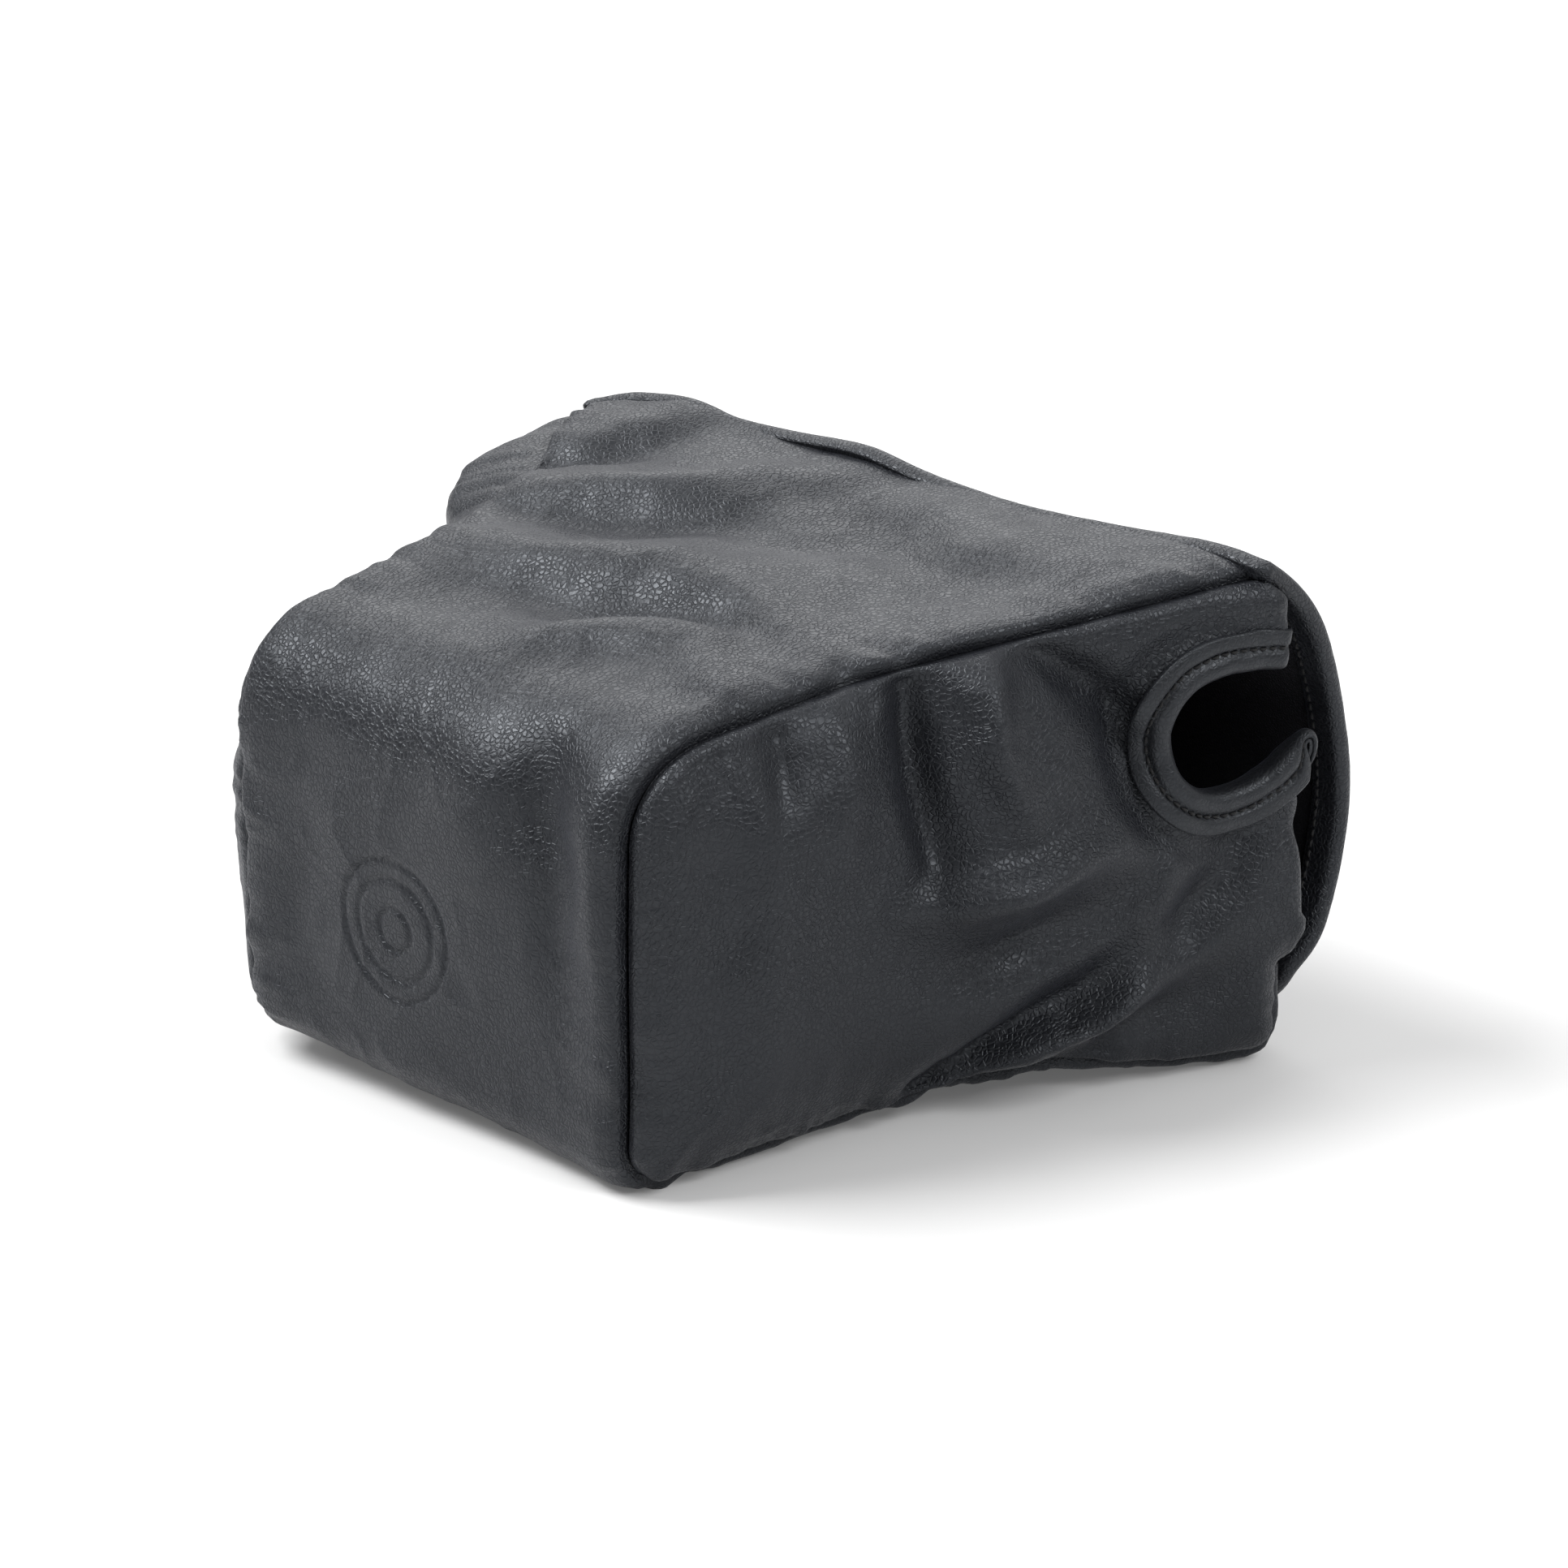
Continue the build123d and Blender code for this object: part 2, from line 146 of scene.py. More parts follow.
def rounded_line(points, radii):
    """Sample an open outline in a plane, its inner corners rounded."""
    points = [np.array(point, float) for point in points]
    path = [points[0]]
    for before, corner, after, radius in zip(points, points[1:], points[2:], radii):
        into = unit(corner - before)
        out = unit(after - corner)
        turn = math.acos(np.clip(into @ out, -1, 1))
        side = math.copysign(1, into[0] * out[1] - into[1] * out[0])
        start = corner - into * radius * math.tan(turn / 2)
        left = np.array([-into[1], into[0]])
        centre = start + side * radius * left
        for angle in np.linspace(0, turn, ARC_POINTS):
            path.append(centre - side * radius * left * math.cos(angle) + radius * into * math.sin(angle))
    path.append(points[-1])
    return resample(np.array(path), OUTLINE_STEP)


def smooth_path(points, step):
    """Draw a smooth curve through given points."""
    points = np.array(points, float)
    padded = np.vstack([2 * points[0] - points[1], points, 2 * points[-1] - points[-2]])
    pieces = []
    for p0, p1, p2, p3 in zip(padded, padded[1:], padded[2:], padded[3:]):
        t = np.linspace(0, 1, CURVE_POINTS, endpoint=False)[:, None]
        pieces.append(0.5 * (2 * p1 + (p2 - p0) * t + (2 * p0 - 5 * p1 + 4 * p2 - p3) * t**2
                             + (3 * p1 - p0 - 3 * p2 + p3) * t**3))
    pieces.append(points[-1:])
    return resample(np.vstack(pieces), step)


def line_distance(points, line):
    """Return each point's distance to a line of straight runs."""
    best = np.full(points.shape[:-1], np.inf)
    for start, end in zip(line, line[1:]):
        run = end - start
        share = np.clip(((points - start) @ run) / max(run @ run, 1e-9), 0, 1)
        gap = np.linalg.norm(points - start - share[..., None] * run, axis=-1)
        best = np.minimum(best, gap)
    return best


def ripple(points, scale, seed):
    """Return smooth noise between about -1 and 1 at each point; scale is its grain in mm."""
    shift = Vector([seed * part for part in NOISE_STRIDE])
    flat = points.reshape(-1, points.shape[-1]) / scale
    values = [noise.noise(Vector(point) + shift) for point in flat.tolist()]
    return np.array(values).reshape(points.shape[:-1]) * NOISE_GAIN


def graded(stops, steps):
    """Place samples from the first stop to the last, each stretch with its own step."""
    samples = [stops[0]]
    for start, end, step in zip(stops, stops[1:], steps):
        count = max(1, int(round((end - start) / step)))
        samples.extend(np.linspace(start, end, count + 1)[1:])
    return np.array(samples)


# ---------------------------------------------------------------- outlines
PROFILE = rounded_line(
    [(MOUTH_Y, MOUTH_HEIGHT), (FRONT_Y, NOSE_HEIGHT), (FRONT_Y, 0), (LIP_Y, 0), (LIP_Y, LIP_HEIGHT)],
    PROFILE_RADII,
)
PROFILE_WALK = lengths(PROFILE)
PROFILE_STEP = PROFILE_WALK[1]     # between its points
PROFILE_TANGENT = unit(np.gradient(PROFILE, axis=0))
PROFILE_OUT = np.stack([PROFILE_TANGENT[:, 1], -PROFILE_TANGENT[:, 0]], 1)


def side_plan(side):
    """Sample one side's outline in plan, from the front to the rear."""
    waist = MOUTH_HALF_WIDTH - SIDE_FLARE * WAIST_DEPTH[side]
    nose = NOSE_HALF_WIDTH[side]
    slope = (waist - nose) / ((MOUTH_Y - WAIST_DEPTH[side]) - FRONT_Y)
    return rounded_line(
        [(nose - slope * PLAN_MARGIN, FRONT_Y - PLAN_MARGIN),
         (waist, MOUTH_Y - WAIST_DEPTH[side]),
         (MOUTH_HALF_WIDTH + SIDE_FLARE * PLAN_MARGIN, MOUTH_Y + PLAN_MARGIN)],
        [WAIST_RADIUS],
    )


PLAN = {side: side_plan(side) for side in (RIGHT, LEFT)}


def side_x(side, y):
    """Return where a side's outer face is at each y."""
    return side * np.interp(y, PLAN[side][:, 1], PLAN[side][:, 0])


# A strap notch's edge as (y from the mouth, z), with the curl round the panel's rear edge at its end
NOTCH_STEP = 0.4
NOTCH_LINE = smooth_path(
    [(2.6, 69.4), (-3, 70.0), (-9, 69.9), (-13.8, 67.8), (-16.6, 63.6), (-16.9, 58.6), (-14.9, 53.6),
     (-10.5, 50.2), (-5, 49.8), (0, 51.8), (3.2, 54.4), (5.4, 56.8), (6.9, 57.4), (8.0, 56.4), (8.0, 53.6),
     (7.0, 49.8)],
    NOTCH_STEP,
) + np.array([MOUTH_Y, 0])
NOTCH_WALK = lengths(NOTCH_LINE)
NOTCH_TAIL = 9.4           # length of binding that curls round the panel's rear edge
NOTCH_REAR = 14.0          # how far behind the mouth the cut is closed, well clear of the panel
NOTCH_HOLLOW = 1.3         # depth of the hollow that the stiff binding draws round itself
NOTCH_HOLLOW_REACH = 8.6
NOTCH_HOLLOW_WIDTH = 2.6


# ---------------------------------------------------------------- the soft shape
def top_line(*points):
    """Lay a line of (x, y) points, y from the mouth, on the top panel."""
    slope = (MOUTH_HEIGHT - NOSE_HEIGHT) / (MOUTH_Y - FRONT_Y)
    return np.array([(x, y + MOUTH_Y, MOUTH_HEIGHT + slope * y) for x, y in points])


def side_line(side, *points):
    """Lay a line of (y, z) points, y from the mouth, on a gusset."""
    return np.array([(float(side_x(side, y + MOUTH_Y)), y + MOUTH_Y, z) for y, z in points])


def front_line(*points):
    """Lay a line of (x, z) points on the front."""
    return np.array([(x, FRONT_Y, z) for x, z in points])


UP = np.array([0.0, 0.0, 1.0])
AHEAD = np.array([0.0, -1.0, 0.0])
OUT_RIGHT = unit(np.array([1.0, -SIDE_FLARE, 0.0]))
OUT_LEFT = unit(np.array([-1.0, -SIDE_FLARE, 0.0]))
SIDE_OUT = {RIGHT: OUT_RIGHT, LEFT: OUT_LEFT}

# Broad bulges and hollows of the whole body: centre, radii, push
BULGES = [
    ((-74, MOUTH_Y - 18, 80), (20, 26, 26), OUT_LEFT * 2.0),
    ((-52, MOUTH_Y - 60, 40), (16, 30, 30), OUT_LEFT * 1.0),
    ((-62, FRONT_Y, -4), (32, 60, 16), UP * 4.6),
    ((38, FRONT_Y, 34), (15, 12, 60), AHEAD * 2.6),
    ((38, FRONT_Y, 0), (24, 20, 14), np.array([-0.6, -0.8, -0.9])),
    ((62, MOUTH_Y - 38, 0), (30, 20, 12), UP * 4.5),
    ((-10, MOUTH_Y - 50, 0), (60, 40, 8), UP * 3.0),
    ((22, MOUTH_Y, 88), (36, 30, 24), UP * -2.4),
    ((-20, MOUTH_Y - 70, 80), (34, 24, 14), UP * 1.5),
    ((-8, FRONT_Y, 42), (34, 12, 26), AHEAD * 1.0),
    ((76, MOUTH_Y + 3, 88), (8, 6, 6), np.array([-0.2, -1.0, -0.8])),
    ((-78, MOUTH_Y + 3, 88), (10, 9, 8), np.array([3.4, -4.0, -3.0])),
]

# Puffs of the side panels alone, held down at their seams: centre, radii, push
PUFFS = [
    ((-68, MOUTH_Y - 26, 79), (26, 34, 20), OUT_LEFT * 12.0),
    ((-52, MOUTH_Y - 80, 30), (16, 26, 34), OUT_LEFT * 5.0),
    ((58, MOUTH_Y - 44, 42), (22, 14, 14), OUT_RIGHT * 3.0),
    ((44, MOUTH_Y - 84, 38), (20, 16, 34), OUT_RIGHT * 2.2),
    ((38, MOUTH_Y - 93, 46), (12, 5, 26), OUT_RIGHT * -1.4),
    ((62, MOUTH_Y - 27, 64), (14, 9, 13), OUT_RIGHT * -4.0),
    ((76, MOUTH_Y - 1, 80), (12, 14, 7), OUT_RIGHT * 2.4),
    ((76, MOUTH_Y - 3, 30), (14, 13, 16), OUT_RIGHT * 1.6),
    ((78, MOUTH_Y + 3, 12), (10, 12, 14), OUT_RIGHT * 2.4),
    ((70, MOUTH_Y - 14, 18), (14, 10, 12), OUT_RIGHT * -1.6),
]
PUFF_REACH = 4.5           # from a seam to where a puff has its full height
PILLOW = 6.0               # how far a side panel swells out between its seams
PILLOW_REACH = 12.0
PILLOW_FADE = 34.0         # length before the mouth over which the swelling dies out

# Folds of the wrap: line, width, push
WRAP_FOLDS = [
    (top_line((-72, -38), (-56, -25), (-44, -17), (-40, -5)), 5.0, UP * -3.2),
    (top_line((-66, -18), (-52, -10), (-50, 6)), 9.0, UP * 1.6),
    (top_line((-62, -46), (-42, -38), (-28, -30), (-10, -8)), 7.0, UP * 3.4),
    (top_line((-52, -53), (-30, -44), (-12, -34), (14, -28)), 6.5, UP * -2.4),
    (top_line((-60, -64), (-26, -62), (-6, -54), (16, -55), (42, -68)), 7.5, UP * 3.4),
    (top_line((-40, -80), (-12, -72), (4, -64), (28, -66)), 6.5, UP * -2.8),
    (top_line((-12, -92), (4, -77), (20, -74), (40, -84)), 6.5, UP * 3.2),
    (top_line((0, -14), (24, -26), (52, -36)), 8.0, UP * -2.2),
    (top_line((-8, -6), (26, -15), (62, -15)), 8.0, UP * 1.8),
    (front_line((14, 84), (18, 66), (22, 50), (23, 26)), 6.0, AHEAD * -3.0),
    (front_line((28, 82), (31, 62), (32, 36)), 5.0, AHEAD * 1.8),
    (front_line((-6, 80), (2, 62), (4, 40)), 9.0, AHEAD * 1.6),
    (front_line((-40, 68), (-36, 40), (-38, 16)), 7.0, AHEAD * -1.2),
]

# Folds of the gussets: line, width, push
GUSSET_FOLDS = [
    (side_line(RIGHT, (-81, 79), (-81, 68), (-85, 54)), 2.6, OUT_RIGHT * -2.4),
    (side_line(RIGHT, (-73, 80), (-70, 66), (-73, 48)), 5.0, OUT_RIGHT * 2.2),
    (side_line(RIGHT, (-59, 84), (-57, 68), (-56, 42)), 4.0, OUT_RIGHT * -6.6),
    (side_line(RIGHT, (-51, 86), (-46, 71), (-43, 54)), 3.8, OUT_RIGHT * 5.0),
    (side_line(RIGHT, (-43, 86), (-34, 74), (-25, 64), (-18, 46)), 4.2, OUT_RIGHT * -5.6),
    (side_line(RIGHT, (-62, 41), (-44, 43), (-26, 46)), 4.0, OUT_RIGHT * 5.4),
    (side_line(RIGHT, (-58, 31), (-40, 31), (-22, 37)), 4.6, OUT_RIGHT * -4.4),
    (side_line(RIGHT, (-62, -2), (-46, 11), (-34, 21), (-18, 32)), 4.0, OUT_RIGHT * -5.2),
    (side_line(RIGHT, (-54, -4), (-38, 10), (-26, 18), (-6, 28)), 4.2, OUT_RIGHT * 4.4),
    (side_line(RIGHT, (-36, -2), (-26, 9), (-13, 16)), 3.8, OUT_RIGHT * -2.4),
    (side_line(RIGHT, (-5, 43), (-8, 34), (-19, 22)), 4.0, OUT_RIGHT * -3.0),
    (side_line(RIGHT, (-14, 44), (-18, 34), (-28, 22)), 4.6, OUT_RIGHT * 2.2),
    (side_line(RIGHT, (-93, 76), (-91, 50), (-93, 18)), 4.0, OUT_RIGHT * -1.4),
    (side_line(LEFT, (-44, 78), (-36, 62), (-34, 44)), 5.0, OUT_LEFT * -3.2),
    (side_line(LEFT, (-20, 80), (-16, 62), (-18, 40)), 6.0, OUT_LEFT * 2.4),
    (side_line(LEFT, (-74, 66), (-70, 50), (-76, 30)), 5.0, OUT_LEFT * -2.4),
    (side_line(LEFT, (-58, 10), (-44, 20), (-30, 34)), 4.6, OUT_LEFT * -3.4),
]
FOLD_REACH = 3.0           # from a seam to where a fold has its full depth
FOLD_END = 0.25            # strength left at a fold's ends
FOLD_WANDER = 2.0          # how far a fold strays from its line
FOLD_WANDER_GRAIN = 16.0
FOLD_SEEDS = (91, 92, 93)


def swellings(points, bumps):
    """Add up what a list of bulges does to each point."""
    shift = np.zeros_like(points)
    for centre, radii, push in bumps:
        reach = (((points - np.array(centre)) / np.array(radii)) ** 2).sum(-1)
        shift += np.exp(-reach)[..., None] * push
    return shift


def creased(points, folds):
    """Add up what a list of folds does to each point; a fold fades towards its two ends."""
    drift = [ripple(points, FOLD_WANDER_GRAIN, seed) for seed in FOLD_SEEDS]
    points = points + FOLD_WANDER * np.stack(drift, -1)
    shift = np.zeros_like(points)
    for line, width, push in folds:
        run = line[-1] - line[0]
        share = np.clip(((points - line[0]) @ run) / (run @ run), 0, 1)
        strength = FOLD_END + (1 - FOLD_END) * np.sin(math.pi * share)
        gap = line_distance(points, line)
        shift += (strength * np.exp(-((gap / width) ** 2)))[..., None] * push
    return shift


def held(edge, reach):
    """Return 0 at a seam and 1 well away from it."""
    return (1 - np.exp(-((edge / reach) ** 2)))[..., None]


def wrap_shift(points, edge):
    """Return how far the soft shape moves points of the wrap, at a distance from its seams."""
    return swellings(points, BULGES) + held(edge, FOLD_REACH) * creased(points, WRAP_FOLDS)


def gusset_shift(points, edge):
    """Return how far the soft shape moves points of a gusset, at a distance from its seam."""
    shift = swellings(points, BULGES) + held(edge, PUFF_REACH) * swellings(points, PUFFS)
    shift += held(edge, FOLD_REACH) * creased(points, GUSSET_FOLDS)
    outward = np.where(points[..., :1] > 0, SIDE_OUT[RIGHT], SIDE_OUT[LEFT])
    ring = line_distance(points[..., 1:], NOTCH_LINE) - NOTCH_HOLLOW_REACH
    hollow = NOTCH_HOLLOW * np.exp(-((ring / NOTCH_HOLLOW_WIDTH) ** 2))
    loose = smooth(np.clip((MOUTH_Y - points[..., 1:2]) / PILLOW_FADE, 0, 1))
    shift += held(edge, PILLOW_REACH) * PILLOW * loose * outward
    return shift - held(edge, FOLD_REACH) * hollow[..., None] * outward


# ---------------------------------------------------------------- meshes
SURE = 0.4                 # a cell's sureness is the sine between its two directions
UNSURE = 0.2
NEIGHBOURS = 3


def grid_normals(grid, outward):
    """Return a grid's normals on the side of outward; a collapsed cell takes them from around it."""
    down = np.gradient(grid, axis=0)
    across = np.gradient(grid, axis=1)
    normal = np.cross(down, across)
    spans = np.linalg.norm(down, axis=-1) * np.linalg.norm(across, axis=-1)
    sureness = np.linalg.norm(normal, axis=-1) / np.maximum(spans, 1e-9)
    normal = unit(normal)
    around = box_sum(normal * np.clip(sureness - UNSURE, 1e-4, 1)[..., None], NEIGHBOURS)
    normal = np.where(sureness[..., None] < SURE, unit(around), normal)
    return normal * np.sign((normal * outward).sum(-1).mean())


def box_sum(field, reach):
    """Add up a field over a square of neighbours; the border's values carry on outside it."""
    rows, columns = field.shape[:2]
    padded = np.pad(field, ((reach, reach), (reach, reach), (0, 0)), mode="edge")
    steps = range(2 * reach + 1)
    return sum(padded[r:r + rows, c:c + columns] for r in steps for c in steps)


def perimeter(rows, columns):
    """Return a grid's border as (row, column) pairs in order, as a closed loop."""
    loop = [(row, 0) for row in range(rows - 1)]
    loop += [(rows - 1, column) for column in range(columns - 1)]
    loop += [(row, columns - 1) for row in range(rows - 1, 0, -1)]
    loop += [(0, column) for column in range(columns - 1, 0, -1)]
    return np.array(loop)


def border_frame(grid, normals, loop):
    """Return the border's points, normals and outward directions in the sheet."""
    rows, columns = grid.shape[:2]
    points = grid[loop[:, 0], loop[:, 1]]
    inner_row = np.clip(loop[:, 0], 1, rows - 2)
    inner_column = np.clip(loop[:, 1], 1, columns - 2)
    inner = grid[inner_row, inner_column]
    normal = normals[loop[:, 0], loop[:, 1]]
    tangent = unit(np.roll(points, -1, axis=0) - np.roll(points, 1, axis=0))
    out = points - inner
    out -= (out * tangent).sum(-1, keepdims=True) * tangent
    out -= (out * normal).sum(-1, keepdims=True) * normal
    return points, normal, unit(out)


def make_object(name, points, faces):
    """Make a smooth mesh object from points in millimetres, without those that no face uses."""
    used = sorted({int(corner) for face in faces for corner in face})
    number = {old: new for new, old in enumerate(used)}
    mesh = bpy.data.meshes.new(name)
    mesh.from_pydata((points[used] * MM).tolist(), [], [[number[int(c)] for c in face] for face in faces])
    mesh.validate()
    mesh.shade_smooth()
    thing = bpy.data.objects.new(name, mesh)
    bpy.context.scene.collection.objects.link(thing)
    return thing


def thicken(thing, thickness):
    """Give a sheet its thickness, inwards from its outer face."""
    solid = thing.modifiers.new("thickness", "SOLIDIFY")
    solid.thickness = thickness * MM
    solid.offset = -1
    graph = bpy.context.evaluated_depsgraph_get()
    mesh = bpy.data.meshes.new_from_object(thing.evaluated_get(graph))
    thing.modifiers.clear()
    thing.data = mesh
    mesh.shade_smooth()
    return thing


def grid_faces(index, kept):
    """Return the four-cornered faces of a grid whose corners are all kept."""
    rows, columns = index.shape
    return [
        (index[r, c], index[r + 1, c], index[r + 1, c + 1], index[r, c + 1])
        for r in range(rows - 1) for c in range(columns - 1) if kept[r:r + 2, c:c + 2].all()
    ]


def tube_faces(index):
    """Return the faces of a tube with capped ends; its points are numbered in a row for each ring."""
    closed = np.hstack([index, index[:, :1]])
    return grid_faces(closed, np.ones(closed.shape, bool)) + [tuple(index[0]), tuple(index[-1][::-1])]


def looks_inwards(faces, points, normals):
    """Tell whether a grid's own faces look inwards, from the one halfway down their list."""
    face = faces[len(faces) // 2]
    a, b, c, _ = points[np.array(face)]
    return np.cross(b - a, c - a) @ normals.reshape(-1, 3)[face[0]] < 0


def turned_over(faces):
    """Return faces with their corners in the opposite order."""
    return [face[::-1] for face in faces]


def turned_edge(radius, facing):
    """List (outwards, inwards) steps of leather turned over an edge and laid back inside."""
    steps = [(radius * math.sin(angle), radius * (1 - math.cos(angle)))
             for angle in np.linspace(0, math.pi, TURN_STEPS + 1)[1:]]
    return steps + [(-back, 2 * radius) for back in np.linspace(0, facing, FACING_STEPS + 1)[1:]]


def ring_faces(ring, after, kept):
    """Return the faces between two closed rows of points, where both ends are kept."""
    count = len(ring)
    return [
        (ring[(here + 1) % count], ring[here], after[here], after[(here + 1) % count])
        for here in range(count) if kept[here] and kept[(here + 1) % count]
    ]


def sheet_object(name, grid, outward, free, seam_out=None, keep=None, keep_turned=None, facing=FACING,
                 radius=TURN_RADIUS):
    """Make a sheet from a grid: free is 1 on the border where it is turned over, 0 where it is sewn."""
    index = np.arange(grid[..., 0].size).reshape(grid.shape[:2])
    kept = np.ones(index.shape, bool) if keep is None else keep
    normals = grid_normals(grid, outward)
    loop = perimeter(*index.shape)
    border = (loop[:, 0], loop[:, 1])
    points, normal, out = border_frame(grid, normals, loop)
    sewn_way = normal if seam_out is None else seam_out[border]
    share = free[border][:, None]
    turned = turned_edge(radius, facing)
    layers = [grid.reshape(-1, 3)]
    faces = grid_faces(index, kept)
    inwards = looks_inwards(faces, layers[0], normals)
    ring = index[border]
    ring_kept = (kept if keep_turned is None else keep_turned)[border]
    for step, (out_turned, in_turned) in enumerate(turned):
        moved = points + (out * out_turned - normal * in_turned) * share
        layers.append(moved - sewn_way * (SEAM_WALL * (step + 1) / len(turned)) * (1 - share))
        after = index.size + step * len(loop) + np.arange(len(loop))
        faces += ring_faces(ring, after, ring_kept)
        ring = after
    faces = turned_over(faces) if inwards else faces
    return thicken(make_object(name, np.vstack(layers), faces), LEATHER)


def plain_sheet(name, grid, outward, keep, thickness):
    """Make a sheet from a grid, with plain edges."""
    index = np.arange(grid[..., 0].size).reshape(grid.shape[:2])
    kept = np.ones(index.shape, bool) if keep is None else keep
    points = grid.reshape(-1, 3)
    faces = grid_faces(index, kept)
    faces = turned_over(faces) if looks_inwards(faces, points, grid_normals(grid, outward)) else faces
    return thicken(make_object(name, points, faces), thickness)


# ---------------------------------------------------------------- the body's sheets
EDGE_STEPS = np.array([0, 0.3, 0.6, 0.95, 1.35, 1.8, 2.4, 3.1, 4.0, 5.0, 6.2, 7.5])   # from a seam
EDGE_BAND = 9.0            # width of the stretch beside a seam that EDGE_STEPS divides
CORNER_TURN = math.radians(45)     # that each of the two panels takes of a seam's corner
SEAM_LIP = 0.35            # height of the welt beside the groove
SEAM_LIP_PLACE = 2.6
SEAM_LIP_WIDTH = 1.4


def roll(edge):
    """Return a corner's inward and downward shift at a distance from its seam."""
    turn = CORNER_TURN * np.clip(1 - edge / CORNER_RADIUS, 0, 1)
    inward = np.where(edge < CORNER_RADIUS, CORNER_RADIUS * (1 - np.sin(turn)), edge)
    return inward - edge, CORNER_RADIUS * (1 - np.cos(turn))


def seam_dip(edge):
    """Return how deep leather lies in the groove at a distance from its seam."""
    lip = SEAM_LIP * np.exp(-(((edge - SEAM_LIP_PLACE) / SEAM_LIP_WIDTH) ** 2))
    return SEAM_SINK * np.exp(-((edge / SEAM_WIDTH) ** 2)) - lip


def emboss_walk():
    """Return how far along the profile the emboss's centre lies."""
    on_front = PROFILE[:, 0] <= FRONT_Y + 1
    return PROFILE_WALK[on_front][np.argmin(np.abs(PROFILE[on_front, 1] - EMBOSS_HEIGHT))]


def wrap_samples(fine):
    """Return the wrap's stops along the profile, and across it as shares and steps in from the sides."""
    total = PROFILE_WALK[-1]
    if fine:
        start = emboss_walk() - EMBOSS_RADIUS - 2
        end = emboss_walk() + EMBOSS_RADIUS + 2
        walk = graded([0, 4, start, end, total - 4, total], [0.5, 0.9, 0.4, 0.9, 0.5])
        middle = graded([0, 0.2, 0.62, 1], [0.011, 0.0048, 0.011])
        edges = EDGE_STEPS
    else:
        walk = graded([1.5, total - 1.5], [2.0])
        middle = np.linspace(0, 1, 50)
        edges = EDGE_STEPS[::2]
    share = np.concatenate([np.zeros(len(edges)), middle, np.ones(len(edges))])
    offset = np.concatenate([edges, EDGE_BAND * (1 - 2 * middle), -edges[::-1]])
    return walk, share, offset


def wrap_grid(fine):
    """Lay out the wrap: rows along the profile, columns from the left seam to the right."""
    walk, share, offset = wrap_samples(fine)
    place = along(PROFILE, walk)
    out = unit(along(PROFILE_OUT, np.interp(walk, PROFILE_WALK, lengths(PROFILE_OUT))))
    y, z = place[:, 0], place[:, 1]
    x_left, x_right = side_x(LEFT, y)[:, None], side_x(RIGHT, y)[:, None]
    x = x_left * (1 - share) + x_right * share + offset
    near_left = (x - x_left < x_right - x)
    edge = np.minimum(x - x_left, x_right - x)
    inward, drop = roll(edge)
    x = x + inward * np.where(near_left, 1, -1)
    grid = np.stack([x, np.broadcast_to(y[:, None], x.shape), np.broadcast_to(z[:, None], x.shape)], -1)
    outward = np.stack([np.zeros_like(y), out[:, 0], out[:, 1]], -1)[:, None, :]
    grid = grid - outward * drop[..., None]
    walked = np.broadcast_to(walk[:, None], x.shape)
    sideways = np.where(near_left[..., None], SIDE_OUT[LEFT], SIDE_OUT[RIGHT])
    return grid, np.broadcast_to(outward, grid.shape), edge, walked, unit(outward + sideways)


CORNER_TURNS = (41.25, 127.5, 217.5)   # degrees the profile has turned by the middle of each corner


def corner_stops():
    """Return how far along the profile the middles of its rounded corners lie."""
    turn = np.abs(np.diff(np.unwrap(np.arctan2(PROFILE_TANGENT[:, 1], PROFILE_TANGENT[:, 0]))))
    turned = np.concatenate([[0], np.cumsum(turn)])
    return [np.interp(math.radians(corner), turned, PROFILE_WALK) for corner in CORNER_TURNS]


SEARCH_PARTS = 40          # keeps the search for the nearest seam point small in memory
NET_SPAN = 100.0           # a gusset's rough size, to which EDGE_STEPS are a share
NET_BAND = 0.085
NET_MIDDLE = 105           # samples between its two bands
COARSE_NET = 50


def net_samples(fine):
    """Return a gusset net's stops as shares of its sides."""
    if not fine:
        return np.linspace(0, 1, COARSE_NET)
    edges = EDGE_STEPS / NET_SPAN
    return np.concatenate([edges, np.linspace(NET_BAND, 1 - NET_BAND, NET_MIDDLE), 1 - edges[::-1]])


def gusset_net(fine):
    """Lay out a gusset in the (y, z) plane: rows from front to rear, columns from bottom to top."""
    top_front, bottom_front, bottom_rear = corner_stops()
    share = net_samples(fine)
    mouth = resample(np.array([PROFILE[-1], PROFILE[0]]), OUTLINE_STEP)
    sides = [
        PROFILE[PROFILE_WALK <= top_front][::-1],
        PROFILE[(PROFILE_WALK >= bottom_front) & (PROFILE_WALK <= bottom_rear)],
        PROFILE[(PROFILE_WALK >= top_front) & (PROFILE_WALK <= bottom_front)][::-1],
        np.vstack([PROFILE[PROFILE_WALK >= bottom_rear], mouth[1:]]),
    ]
    top, bottom, front, rear = (along(path, share * lengths(path)[-1]) for path in sides)
    a, b = share[:, None, None], share[None, :, None]
    net = (1 - b) * bottom[:, None] + b * top[:, None] + (1 - a) * front[None] + a * rear[None]
    net -= (1 - a) * (1 - b) * front[0] + a * (1 - b) * rear[0] + (1 - a) * b * front[-1] + a * b * rear[-1]
    return net


